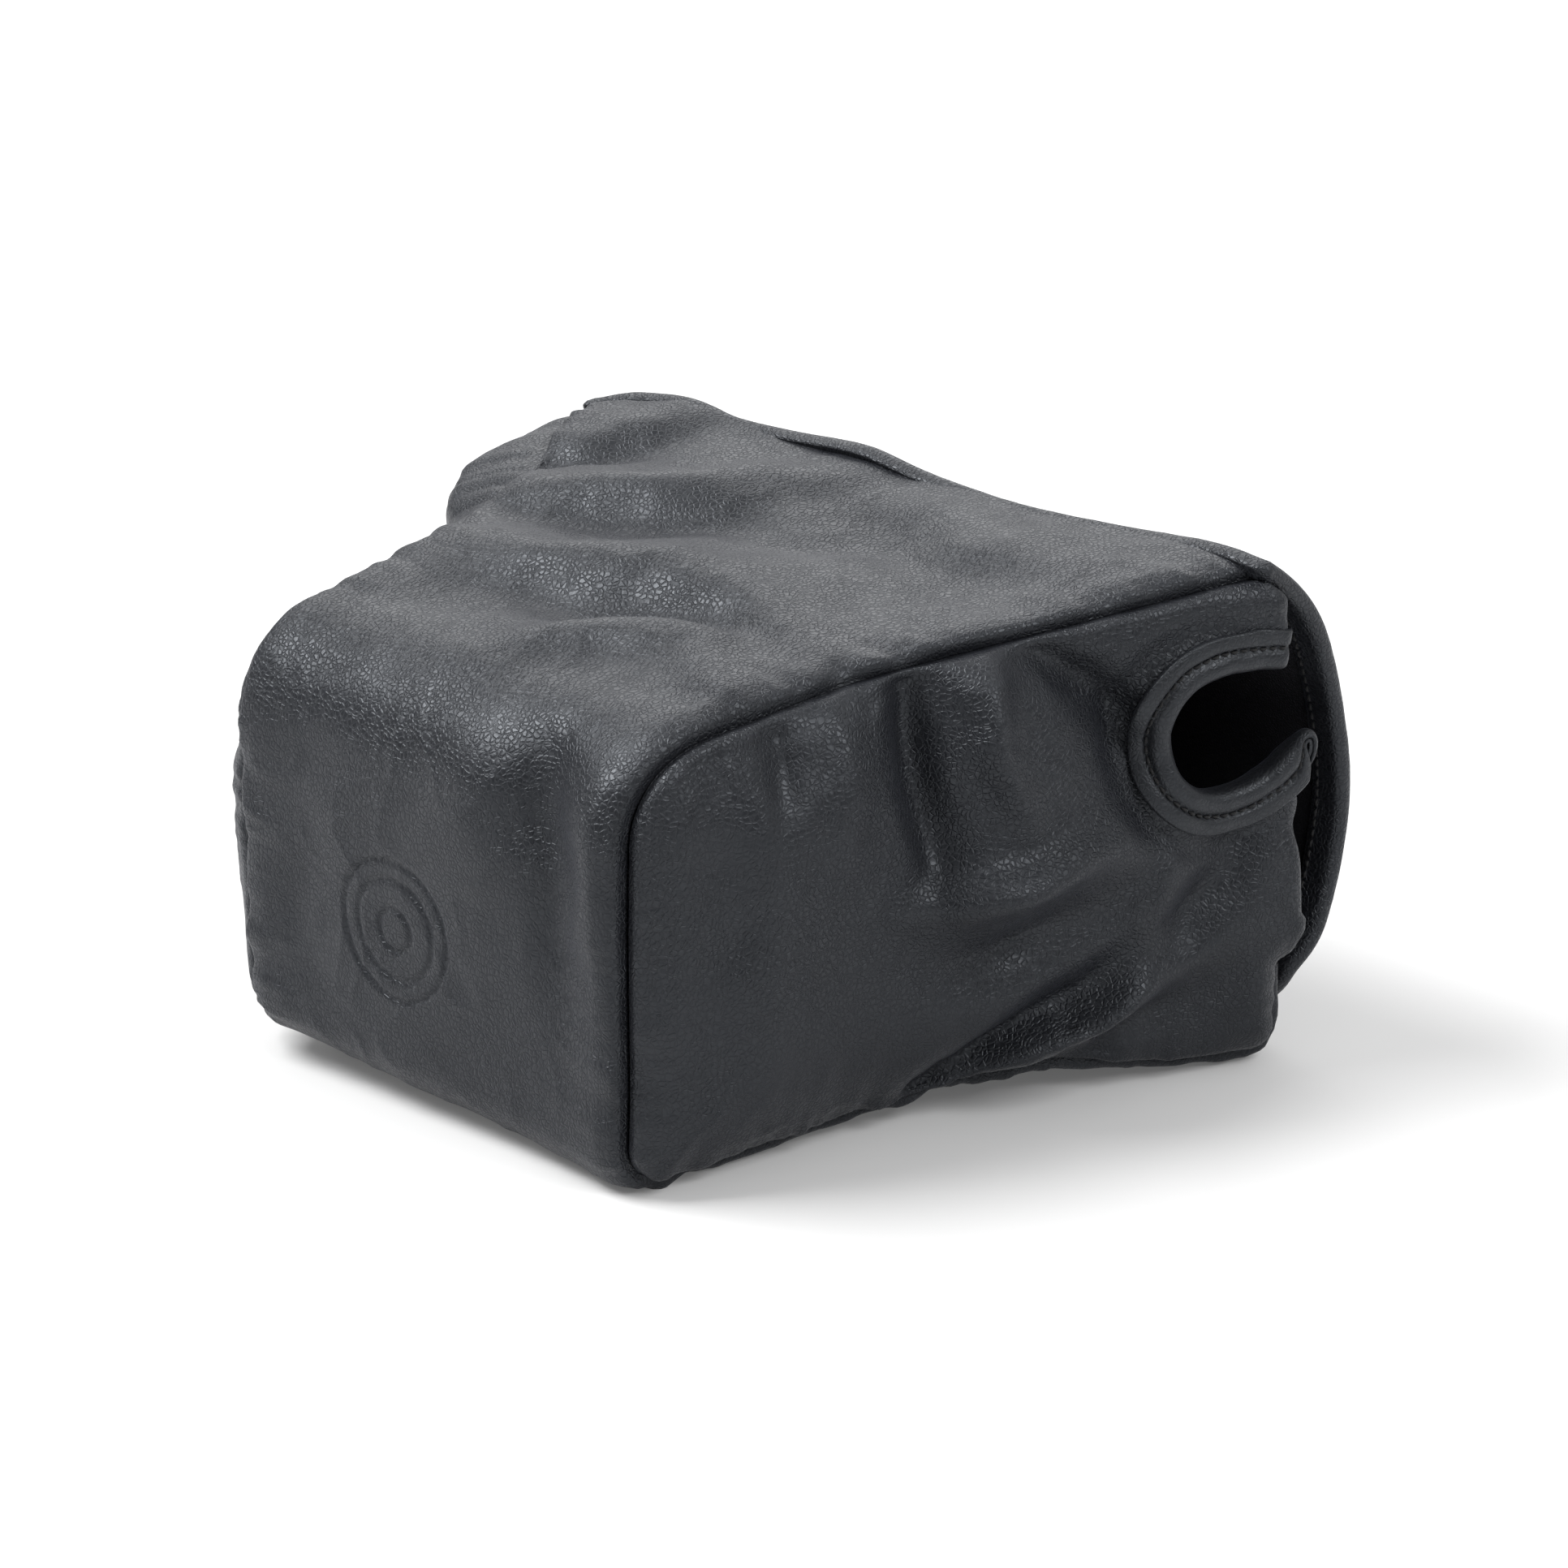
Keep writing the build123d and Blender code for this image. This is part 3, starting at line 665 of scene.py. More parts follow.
def nearest_seam(net):
    """Return each point's distance to the seam, the way inwards from it, and where it meets it."""
    flat = net.reshape(-1, 2)
    found = np.concatenate([
        np.argmin(((part[:, None] - PROFILE[None]) ** 2).sum(-1), 1)
        for part in np.array_split(flat, SEARCH_PARTS)
    ])
    inward = -PROFILE_OUT[found]
    gap = flat - PROFILE[found]
    direct = (gap * inward).sum(-1)
    past_end = np.sqrt(np.maximum((gap**2).sum(-1) - PROFILE_STEP**2, 0))
    edge = np.maximum(direct, past_end)
    shape = net.shape[:-1]
    return edge.reshape(shape), inward.reshape(net.shape), PROFILE_WALK[found].reshape(shape)


def gusset_grid(side, fine):
    """Lay out a gusset in space, its border rolled into the seam's corner."""
    net = gusset_net(fine)
    edge, inward, walked = nearest_seam(net)
    shift, drop = roll(edge)
    placed = net + inward * shift[..., None]
    x = side_x(side, placed[..., 0]) - side * drop
    grid = np.stack([x, placed[..., 0], placed[..., 1]], -1)
    outward = np.broadcast_to(SIDE_OUT[side], grid.shape)
    over_seam = np.concatenate([np.zeros_like(edge)[..., None], -inward], -1)
    return grid, outward, edge, walked, unit(outward + over_seam), net


GATHER_GRAIN = 5.0
GATHER_FINE_GRAIN = 2.2
GATHER_PATCH = 24.0        # length of seam over which the gathers come and go
GATHER_START = 2.0
GATHER_FADE = 8.0
GATHER_STRETCH = 0.18      # they run inwards, so they change slowly that way


def gathers(edge, walked, seed):
    """Return small puckers that run in from the seam, strongest beside it."""
    place = np.stack([walked, edge * GATHER_STRETCH, np.zeros_like(edge)], -1)
    fade = np.clip(edge / GATHER_START, 0, 1) * np.exp(-edge / GATHER_FADE)
    pulled = np.clip(0.5 + ripple(place, GATHER_PATCH, seed + 7), 0, 1)
    broad = ripple(place, GATHER_GRAIN, seed)
    narrow = ripple(place, GATHER_FINE_GRAIN, seed + 3)
    return fade * (0.2 + pulled) * (0.85 * broad + 0.45 * narrow)


SLACK = 0.5
SLACK_GRAIN = 26.0
CREASE = 0.22
CREASE_GRAIN = 10.0
CREASE_DRIFT = 3.0
CREASE_DRIFT_GRAIN = 14.0


def wrinkles(grid, seed):
    """Return broad uneven softness and low creases over a whole sheet."""
    place = grid + CREASE_DRIFT * ripple(grid, CREASE_DRIFT_GRAIN, seed + 5)[..., None]
    slack = ripple(place, SLACK_GRAIN, seed)
    crease = 1 - np.abs(ripple(place, CREASE_GRAIN, seed + 1))
    return SLACK * slack + CREASE * crease**3


WRINKLE_REACH = 6.0        # from a seam to where the wrinkles have their full height
SEAM_TURN = 1.5            # within this of a seam, the groove sinks straight into the corner


def crumple(soft, outward, edge, walked, seam_out, seed):
    """Give a panel's soft face its seam groove, gathers and creases."""
    normals = grid_normals(soft, outward)
    away = np.clip(edge / WRINKLE_REACH, 0, 1)
    height = gathers(edge, walked, seed) + away * wrinkles(soft, seed)
    share = np.exp(-((edge / SEAM_TURN) ** 2))[..., None]
    dip_way = unit(normals * (1 - share) + seam_out * share)
    return soft + normals * height[..., None] - dip_way * seam_dip(edge)[..., None]


# ---------------------------------------------------------------- strap notches
def inside_notch(net, margin):
    """Tell which (y, z) points lie in the notch, or nearer its edge than margin."""
    cut = NOTCH_LINE[NOTCH_WALK < NOTCH_WALK[-1] - NOTCH_TAIL]
    shut = np.vstack([cut, cut[-1] + (NOTCH_REAR, 6), cut[0] + (NOTCH_REAR, 0)])
    y, z = net[..., 0], net[..., 1]
    within = np.zeros(y.shape, bool)
    for (y0, z0), (y1, z1) in zip(shut, np.roll(shut, -1, axis=0)):
        if z0 != z1:
            crosses = ((z0 > z) != (z1 > z)) & (y < (y1 - y0) * (z - z0) / (z1 - z0) + y0)
            within ^= crosses
    return within | (line_distance(net, cut) < margin)


def gusset_face(side, places):
    """Return points on a gusset's soft outer face and its normals, for (y, z) places."""
    def point(shifted):
        plain = np.stack([side_x(side, shifted[..., 0]), shifted[..., 0], shifted[..., 1]], -1)
        edge, _, _ = nearest_seam(shifted)
        return plain + gusset_shift(plain, edge)

    here = point(places)
    across = point(places + (NOTCH_STEP, 0)) - here
    upward = point(places + (0, NOTCH_STEP)) - here
    return here, unit(np.cross(across, upward)) * side


# The binding's section: distance outwards from the notch's edge, and depth from the gusset's face
BINDING_SECTION = [
    (6.7, 0.4), (6.7, -0.35), (6.4, -0.55), (5.3, -0.65), (4.5, -0.7), (4.1, -0.5), (3.8, 0.0),
    (3.5, 0.0), (3.1, -0.6), (2.6, -0.95), (1.8, -1.15), (1.0, -1.1), (0.3, -0.8), (-0.25, 0.0),
    (-0.5, 1.3), (-0.4, 2.8), (0.2, 4.0), (1.3, 4.6), (2.8, 4.5), (4.4, 4.3), (5.0, 4.1),
    (5.0, 3.5), (3.0, 3.4), (1.6, 2.2), (1.6, 1.2), (3.0, 0.4),
]
BINDING_SEAM = (3.62, -0.28)
BINDING_SEAM_PHASE = 2.3
BINDING_PHASE = 0.35       # shift of the noise from one rail to the next
BINDING_END = 1.6          # length over which its cut ends are rounded off
BINDING_END_FULLNESS = 0.35
BINDING_MIDDLE = 1.4       # depth towards which it thins there
BINDING_FLANGE = 5.0       # beyond this its edge is a little ragged
TAIL_BLEND = 5.0           # length over which the curled tail narrows
TAIL_NARROWING = 0.78
TAIL_SINK = 2.2
TAIL_SINK_LENGTH = 6.0


def notch_frame(side):
    """Return the notch's edge in space: points, normals and the way out from the hole."""
    tangent = unit(np.gradient(NOTCH_LINE, axis=0))
    away = np.stack([tangent[:, 1], -tangent[:, 0]], 1)
    hole = NOTCH_LINE.mean(0)
    if ((NOTCH_LINE - hole) * away).sum() < 0:
        away = -away
    points, normals = gusset_face(side, NOTCH_LINE)
    beside, _ = gusset_face(side, NOTCH_LINE + away * 0.5)
    return points, normals, unit(beside - points)


def binding_rail(side, out, depth, phase=0.0):
    """Return the line along a binding at one place of its section, with its normals."""
    points, normals, away = notch_frame(side)
    left = NOTCH_WALK[-1] - NOTCH_WALK
    tail = smooth(np.clip((NOTCH_TAIL + TAIL_BLEND - left) / TAIL_BLEND, 0, 1))
    narrow = 1 - TAIL_NARROWING * tail
    sunk = TAIL_SINK * np.clip(1 - left / TAIL_SINK_LENGTH, 0, 1) ** 2
    start = np.sqrt(1 - np.clip(1 - NOTCH_WALK / BINDING_END, 0, 1) ** 2)
    end = np.sqrt(1 - np.clip(1 - left / BINDING_END, 0, 1) ** 2)
    full = BINDING_END_FULLNESS + (1 - BINDING_END_FULLNESS) * start * end
    flat = np.zeros_like(NOTCH_WALK)
    place = np.stack([NOTCH_WALK, flat + phase, flat], -1)
    depth = depth + 0.12 * ripple(place, 2.2, 31 + side) + 0.2 * ripple(place, 9.0, 33 + side)
    ragged = 0.3 * ripple(place, 5.0, 35 + side) if out > BINDING_FLANGE else flat
    reach = (out + ragged) * (narrow if out > 0 else 1)
    depth = BINDING_MIDDLE + (depth - BINDING_MIDDLE) * full
    return points + away * reach[:, None] - normals * (depth * narrow**0.4 + sunk)[:, None], normals


def notch_binding(side, name):
    """Make the strip of leather folded over a notch's edge, its lower end curled round the panel."""
    rails = [binding_rail(side, out, depth, BINDING_PHASE * count)[0]
             for count, (out, depth) in enumerate(BINDING_SECTION)]
    section = np.stack(rails, 1)
    index = np.arange(section[..., 0].size).reshape(section.shape[:2])
    faces = tube_faces(index) if side == LEFT else turned_over(tube_faces(index))
    return make_object(name, section.reshape(-1, 3), faces)


STITCH_RINGS = 7
STITCH_SIDES = 6


def stitch_row(name, points, normals, thickness=0.24, pitch=1.75, length=1.35, rise=0.16):
    """Make a row of thread stitches on a path, each one rising from its needle holes."""
    walked = lengths(points)
    count = int(walked[-1] / pitch)
    bow = np.cos(np.linspace(-0.5, 0.5, STITCH_RINGS) * math.pi)
    fat = thickness * np.sqrt(np.clip(0.25 + bow, 0, 1))[:, None]
    tubes = []
    faces = []
    for stitch in range(count):
        middle = (stitch + 0.5) * walked[-1] / count
        stops = middle + np.linspace(-0.5, 0.5, STITCH_RINGS) * length
        centre = along(points, stops)
        normal = unit(np.stack([np.interp(stops, walked, normals[:, k]) for k in range(3)], -1))
        across = unit(np.cross(unit(np.gradient(centre, axis=0)), normal))
        centre = centre + normal * (rise * (2 * bow - 1))[:, None]
        rings = [centre + fat * (across * math.cos(angle) + normal * math.sin(angle))
                 for angle in np.linspace(0, 2 * math.pi, STITCH_SIDES, endpoint=False)]
        tubes.append(np.stack(rings, 1).reshape(-1, 3))
        index = stitch * STITCH_RINGS * STITCH_SIDES + np.arange(STITCH_RINGS * STITCH_SIDES)
        index = index.reshape(STITCH_RINGS, STITCH_SIDES)
        faces += turned_over(tube_faces(index))
    return make_object(name, np.vstack(tubes), faces)


# ---------------------------------------------------------------- the flap
FLAP_CENTRE_HEIGHT = 45.0
FLAP_RADIUS = 56.5         # to the middle of its leather
FLAP_FACE_RADIUS = 57.1    # to the leather's outer face
FLAP_CENTRE_Y = HINGE_Y - math.sqrt(FLAP_RADIUS**2 - (HINGE_HEIGHT - FLAP_CENTRE_HEIGHT) ** 2)
FLAP_TOP_ANGLE = math.asin((HINGE_HEIGHT - FLAP_CENTRE_HEIGHT) / FLAP_RADIUS)
FLAP_KNEE_HEIGHT = 15.0    # below this the flap bends back to hang straight
FLAP_KNEE_ANGLE = math.asin((FLAP_KNEE_HEIGHT - FLAP_CENTRE_HEIGHT) / FLAP_RADIUS)
FLAP_KNEE_REACH = 6.0      # from the leather's middle to the knee's centre
FLAP_KNEE_RADIUS = 5.4     # from its outer face
FLAP_TIP_HEIGHT = 3.2
FLAP_HALF_WIDTH = 75.0
FLAP_TOP_HALF_WIDTH = 74.0
FLAP_SHOULDER_HEIGHT = 74.0    # above this it narrows
FLAP_CORNER = 20.0
FLAP_WALL = 3.6
FLAP_FACING = 4.2          # width of the rim that is turned onto the lining
FLAP_LINING_FACE = 2.9     # depth of the lining's face inside the flap
FLAP_RIM_SEAM = 3.1
FLAP_LINING_START = 9.0    # along the flap; only leather bends above it
FLAP_LINING_INSET = 2.0
FLAP_LAYERS = (("foam", 1.1, 1.0), ("lining", 2.2, 0.7))    # depth and thickness
FLAP_WRINKLE = 0.3         # share of the wrinkles that the body has
HINGE_SEAM_WALK = 8.3      # from the flap's hidden top edge to its seam
HINGE_THREAD = 0.13        # half the thickness of the seam's thread, sunk in the leather
FLAP_LEAD = ((-3.2, -0.9), (-1.6, 0.0))     # its hidden edge under the top panel, from the arc's start
FLAP_STEP = 0.3            # between its profile's points
FLAP_SINK = 1.0            # how far the flap lies below the top panel's edge at the hinge
FLAP_PEEKS = [(-14, 13, 1.4), (62, 10, 0.5)]    # where it rises above that edge: x, width, rise
FLAP_SLACK_LENGTH = 20.0   # from the hinge down, over which it stops following the top panel


def flap_profile():
    """Sample the flap's outer face from just under the top panel down to the tip, as (y, z)."""
    centre = np.array([FLAP_CENTRE_Y, FLAP_CENTRE_HEIGHT])
    angles = np.linspace(FLAP_TOP_ANGLE, FLAP_KNEE_ANGLE, 120)
    arc = centre + FLAP_FACE_RADIUS * np.stack([np.cos(angles), np.sin(angles)], 1)
    knee_way = np.array([math.cos(FLAP_KNEE_ANGLE), math.sin(FLAP_KNEE_ANGLE)])
    knee = centre + (FLAP_RADIUS + FLAP_KNEE_REACH) * knee_way
    bend = np.linspace(math.pi + FLAP_KNEE_ANGLE, math.pi, 16)[1:]
    turn = knee + FLAP_KNEE_RADIUS * np.stack([np.cos(bend), np.sin(bend)], 1)
    tip = np.array([turn[-1, 0], FLAP_TIP_HEIGHT])
    lead = [arc[0] + np.array(step) for step in FLAP_LEAD]
    return resample(np.vstack([*lead, arc, turn, tip]), FLAP_STEP)


FLAP_PROFILE = flap_profile()
FLAP_WALK = lengths(FLAP_PROFILE)


def flap_half_width(z):
    """Return the flap's half width at a height: rounded below, a little narrower at the top."""
    above = np.clip((z - FLAP_SHOULDER_HEIGHT) / (HINGE_HEIGHT - FLAP_SHOULDER_HEIGHT), 0, 1)
    half = FLAP_HALF_WIDTH - (FLAP_HALF_WIDTH - FLAP_TOP_HALF_WIDTH) * above**1.5
    low = np.clip(FLAP_CORNER - (z - FLAP_TIP_HEIGHT), 0, FLAP_CORNER)
    return half - (FLAP_CORNER - np.sqrt(FLAP_CORNER**2 - low**2))


def flap_grid(start, inset, step, columns):
    """Lay out the flap's outer face: rows down its profile, columns from left to right."""
    knee_walk = FLAP_WALK[-1] - FLAP_CORNER
    corner = knee_walk + (FLAP_CORNER - inset) * np.sin(np.linspace(0, math.pi / 2, 26))
    walk = np.concatenate([graded([start, knee_walk], [step])[:-1], corner])
    place = along(FLAP_PROFILE, walk)
    height = np.interp(walk, FLAP_WALK, FLAP_PROFILE[:, 1])
    low = np.clip(walk - knee_walk, 0, FLAP_CORNER - inset)
    half = flap_half_width(np.maximum(height, FLAP_TIP_HEIGHT + FLAP_CORNER)) - inset
    radius = FLAP_CORNER - inset
    half = half - (radius - np.sqrt(np.maximum(radius**2 - low**2, 0)))
    share = np.linspace(-1, 1, columns)
    share = np.sign(share) * (1 - (1 - np.abs(share)) ** 1.15)
    x = half[:, None] * share
    grid = np.stack([x, np.broadcast_to(place[:, :1], x.shape), np.broadcast_to(place[:, 1:], x.shape)], -1)
    tangent = unit(np.gradient(place, axis=0))
    outward = np.stack([np.zeros(len(walk)), -tangent[:, 1], tangent[:, 0]], -1)[:, None, :]
    return grid, np.broadcast_to(outward, grid.shape)


def flap_shift(grid, outward):
    """Return the flap's soft unevenness: it sags a little between its corners."""
    low = np.clip((HINGE_HEIGHT - grid[..., 2]) / FLAP_SLACK_LENGTH, 0, 1)
    slack = ripple(grid, 34.0, 61) * 0.9 + ripple(grid, 12.0, 62) * 0.25
    mouth = np.full(low.shape, MOUTH_Y)
    panel_edge = np.stack([grid[..., 0], mouth, np.full(low.shape, MOUTH_HEIGHT)], -1)
    edge = MOUTH_HALF_WIDTH - np.abs(grid[..., 0])
    peeks = sum(rise * np.exp(-(((grid[..., 0] - x) / width) ** 2)) for x, width, rise in FLAP_PEEKS)
    sink = (FLAP_SINK - peeks)[..., None] * UP
    follow = (1 - low)[..., None] ** 2 * (wrap_shift(panel_edge, edge) - sink)
    return outward * (low * slack)[..., None] + follow


# ---------------------------------------------------------------- materials
PER_MM = 1000.0            # texture scales count in millimetres
PEBBLE_SCALE = 1.15
PEBBLE_WARP = 1.6
PEBBLE_WARP_SCALE = 0.35
CRACK_WIDTH = 0.22
CRACK_DULLNESS = 0.14      # added to the roughness in the grain's cracks


def new_material(name):
    """Start a material and return it with its nodes, links and main shader."""
    material = bpy.data.materials.new(name)
    material.use_nodes = True
    nodes = material.node_tree.nodes
    return material, nodes, material.node_tree.links, nodes["Principled BSDF"]


def texture_space(nodes, links, scale):
    """Return a socket with the piece's own coordinates; scale is per metre."""
    place = nodes.new("ShaderNodeTexCoord")
    mapping = nodes.new("ShaderNodeMapping")
    mapping.inputs["Scale"].default_value = (scale, scale, scale)
    links.new(place.outputs["Object"], mapping.inputs["Vector"])
    return mapping.outputs["Vector"]


def math_node(nodes, links, operation, first, second):
    """Join two values or sockets with a math node and return its result."""
    node = nodes.new("ShaderNodeMath")
    node.operation = operation
    for socket, value in zip(node.inputs, (first, second)):
        if isinstance(value, (int, float)):
            socket.default_value = value
        else:
            links.new(value, socket)
    return node.outputs["Value"]


def noise_node(nodes, links, vector, scale, detail=3.0, distortion=0.0):
    """Make a noise texture node."""
    node = nodes.new("ShaderNodeTexNoise")
    node.inputs["Scale"].default_value = scale
    node.inputs["Detail"].default_value = detail
    node.inputs["Distortion"].default_value = distortion
    links.new(vector, node.inputs["Vector"])
    return node


def noise_value(nodes, links, vector, scale, detail=3.0, distortion=0.0):
    """Return a noise texture's value."""
    return noise_node(nodes, links, vector, scale, detail, distortion).outputs["Fac"]


def ranged(nodes, links, value, low, high, start=0.0, end=1.0, eased=False):
    """Map a socket's values from start..end to low..high."""
    node = nodes.new("ShaderNodeMapRange")
    node.interpolation_type = "SMOOTHSTEP" if eased else "LINEAR"
    for socket, number in (("From Min", start), ("From Max", end), ("To Min", low), ("To Max", high)):
        node.inputs[socket].default_value = number
    links.new(value, node.inputs["Value"])
    return node.outputs["Result"]


def tint(nodes, links, shader, factor, dark, light):
    """Vary a shader's colour between a dark and a light one."""
    node = nodes.new("ShaderNodeMix")
    node.data_type = "RGBA"
    node.inputs["A"].default_value = (*dark, 1)
    node.inputs["B"].default_value = (*light, 1)
    links.new(factor, node.inputs["Factor"])
    links.new(node.outputs["Result"], shader.inputs["Base Color"])


def roughen(nodes, links, shader, height, depth, strength=1.0):
    """Give a shader a bump of a depth in millimetres."""
    node = nodes.new("ShaderNodeBump")
    node.inputs["Strength"].default_value = strength
    node.inputs["Distance"].default_value = depth * MM
    links.new(height, node.inputs["Height"])
    links.new(node.outputs["Normal"], shader.inputs["Normal"])


def pebbles(nodes, links, space):
    """Return a warped cell pattern: 0 in the cracks of the grain, 1 on its pebbles."""
    warp = noise_node(nodes, links, space, PEBBLE_WARP_SCALE, 2.0)
    shifted = nodes.new("ShaderNodeVectorMath")
    shifted.operation = "MULTIPLY_ADD"
    shifted.inputs[1].default_value = (PEBBLE_WARP,) * 3
    links.new(warp.outputs["Color"], shifted.inputs[0])
    links.new(space, shifted.inputs[2])
    cells = nodes.new("ShaderNodeTexVoronoi")
    cells.feature = "DISTANCE_TO_EDGE"
    cells.inputs["Scale"].default_value = PEBBLE_SCALE
    links.new(shifted.outputs["Vector"], cells.inputs["Vector"])
    return ranged(nodes, links, cells.outputs["Distance"], 0.0, 1.0, end=CRACK_WIDTH, eased=True)


def leather_material(name, colour, roughness, grain):
    """Soft nappa: pebbles of about a millimetre, hair-fine creases and a satin sheen."""
    material, nodes, links, shader = new_material(name)
    space = texture_space(nodes, links, PER_MM)
    cells = pebbles(nodes, links, space)
    patches = noise_value(nodes, links, space, 0.06, 2.0)
    fine = noise_value(nodes, links, space, 2.6, 4.0)
    crease = noise_value(nodes, links, space, 0.45, 3.0, 1.2)
    height = math_node(nodes, links, "MULTIPLY", cells, math_node(nodes, links, "MULTIPLY", patches, 1.3))
    height = math_node(nodes, links, "ADD", height, math_node(nodes, links, "MULTIPLY", fine, 0.15))
    height = math_node(nodes, links, "ADD", height, math_node(nodes, links, "MULTIPLY", crease, 0.5))
    roughen(nodes, links, shader, height, grain)
    shade = noise_value(nodes, links, space, 0.09, 4.0)
    tint(nodes, links, shader, shade, [0.8 * part for part in colour], [1.25 * part for part in colour])
    gloss = ranged(nodes, links, noise_value(nodes, links, space, 0.12), roughness - 0.06, roughness + 0.08)
    dull = ranged(nodes, links, cells, 0.12, 0.12 - CRACK_DULLNESS)
    links.new(math_node(nodes, links, "ADD", gloss, dull), shader.inputs["Roughness"])
    shader.inputs["Specular IOR Level"].default_value = 0.46
    shader.inputs["Specular Tint"].default_value = (0.88, 0.93, 1.0, 1)
    shader.inputs["Sheen Weight"].default_value = 0.03
    shader.inputs["Sheen Roughness"].default_value = 0.45
    shader.inputs["Sheen Tint"].default_value = (0.75, 0.8, 1.0, 1)
    return material


def velvet_material(name):
    """Short black pile: almost no light from the front, a faint edge sheen."""
    material, nodes, links, shader = new_material(name)
    space = texture_space(nodes, links, PER_MM)
    brushed = noise_value(nodes, links, space, 0.09)
    tint(nodes, links, shader, brushed, (0.0050, 0.0050, 0.0058), (0.012, 0.012, 0.014))
    roughen(nodes, links, shader, noise_value(nodes, links, space, 3.2, 4.0), 0.35, 0.8)
    shader.inputs["Roughness"].default_value = 0.95
    shader.inputs["Specular IOR Level"].default_value = 0.1
    shader.inputs["Sheen Weight"].default_value = 0.25
    shader.inputs["Sheen Roughness"].default_value = 0.35
    shader.inputs["Sheen Tint"].default_value = (0.5, 0.5, 0.6, 1)
    return material


def weave_material(name, colour, scale, depth):
    """Woven or fuzzy black textile, for foam, tape and thread."""
    material, nodes, links, shader = new_material(name)
    fibre = noise_value(nodes, links, texture_space(nodes, links, PER_MM), scale, 5.0, 0.6)
    tint(nodes, links, shader, fibre, [0.6 * part for part in colour], [1.5 * part for part in colour])
    roughen(nodes, links, shader, fibre, depth)
    shader.inputs["Roughness"].default_value = 0.8
    shader.inputs["Sheen Weight"].default_value = 0.04
    return material


NAPPA = leather_material("nappa_leather", (0.0060, 0.0064, 0.0082), 0.41, 0.13)
EDGE_NAPPA = leather_material("edge_leather", (0.0070, 0.0075, 0.0090), 0.40, 0.06)
VELVET = velvet_material("velvet_lining")
FOAM_SKIN = weave_material("foam", (0.03, 0.03, 0.033), 1.4, 0.2)
THREAD = weave_material("thread", (0.006, 0.006, 0.007), 4.0, 0.08)
LOOP_TAPE = weave_material("loop_tape", (0.014, 0.014, 0.016), 2.0, 0.4)
HOOK_TAPE = weave_material("hook_tape", (0.012, 0.012, 0.014), 1.2, 0.3)


def dress(thing, material, slot, body, *nodes):
    """Paint a piece, tie it to its body and let it stand for its CAD nodes."""
    thing.data.materials.clear()
    thing.data.materials.append(material)
    if body:
        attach(thing, body)
    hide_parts(*nodes)
    return thing


# ---------------------------------------------------------------- build the body
def emboss_depth(grid):
    """Return how deep the plain round emboss is pressed into the front: rings on a sunk disc."""
    radius = np.hypot(grid[..., 0] - EMBOSS_X, grid[..., 2] - EMBOSS_HEIGHT)
    pressed = sum(np.exp(-(((radius - ring) / EMBOSS_LINE) ** 2)) for ring in EMBOSS_RINGS)
    on_front = grid[..., 1] < FRONT_Y + EMBOSS_RADIUS
    return np.where(on_front, EMBOSS_DEPTH * pressed + EMBOSS_DISC * (radius < EMBOSS_RADIUS), 0)


LAYER_SEAM_TURN = 3.0      # within this of a seam, the inner layers follow its corner
EDGE_CUT = 1.2             # leather ends this far from the notch's edge, inside the binding
TURNED_CUT = 1.5
LAYER_CUT = 1.8


def build_wrap():
    """Make the wrap's leather, foam and lining."""
    grid, outward, edge, walked, seam_out = wrap_grid(True)
    soft = crumple(grid + wrap_shift(grid, edge), outward, edge, walked, seam_out, 1)
    soft = soft - grid_normals(soft, outward) * emboss_depth(grid)[..., None]
    free = np.zeros(grid.shape[:2])
    free[[0, -1]] = np.clip((edge[0] - 2) / 3, 0, 1)
    leather = sheet_object("soft_wrap_leather", soft, outward, free, seam_out)
    dress(leather, NAPPA, "nappa_leather", "pouch", "wrap_leather")
    grid, outward, edge, _, seam_out = wrap_grid(False)
    build_layers("wrap", grid + wrap_shift(grid, edge), outward, edge, seam_out, None)


def build_layers(name, soft, outward, edge, seam_out, keep):
    """Make a panel's foam and lining inside its leather."""
    share = np.exp(-((edge / LAYER_SEAM_TURN) ** 2))[..., None]
    inner_way = unit(grid_normals(soft, outward) * (1 - share) + seam_out * share)
    for layer, depth, thickness, material, slot in (
        ("foam", FOAM_DEPTH, FOAM, FOAM_SKIN, "foam"),
        ("lining", LINING_DEPTH, LINING, VELVET, "velvet_lining"),
    ):
        piece = plain_sheet(f"soft_{name}_{layer}", soft - inner_way * depth, outward, keep, thickness)
        dress(piece, material, slot, "pouch", f"{name}_{layer}")


def build_gusset(side, name):
    """Make one gusset's leather, foam and lining, cut out round its notch."""
    grid, outward, edge, walked, seam_out, net = gusset_grid(side, True)
    soft = crumple(grid + gusset_shift(grid, edge), outward, edge, walked, seam_out, 11 + side)
    free = np.zeros(grid.shape[:2])
    height = net[-1, :, 1]
    free[-1] = np.clip((height - LIP_HEIGHT) / 3, 0, 1) * np.clip((MOUTH_HEIGHT - 1.5 - height) / 3, 0, 1)
    keep = ~inside_notch(net, EDGE_CUT)
    keep_turned = keep & ~inside_notch(net - (FACING, 0), TURNED_CUT)
    leather = sheet_object(f"soft_{name}_gusset_leather", soft, outward, free, seam_out, keep, keep_turned)
    dress(leather, NAPPA, "nappa_leather", "pouch", f"{name}_gusset_leather")
    grid, outward, edge, _, seam_out, net = gusset_grid(side, False)
    soft = grid + gusset_shift(grid, edge)
    build_layers(f"{name}_gusset", soft, outward, edge, seam_out, ~inside_notch(net, LAYER_CUT))


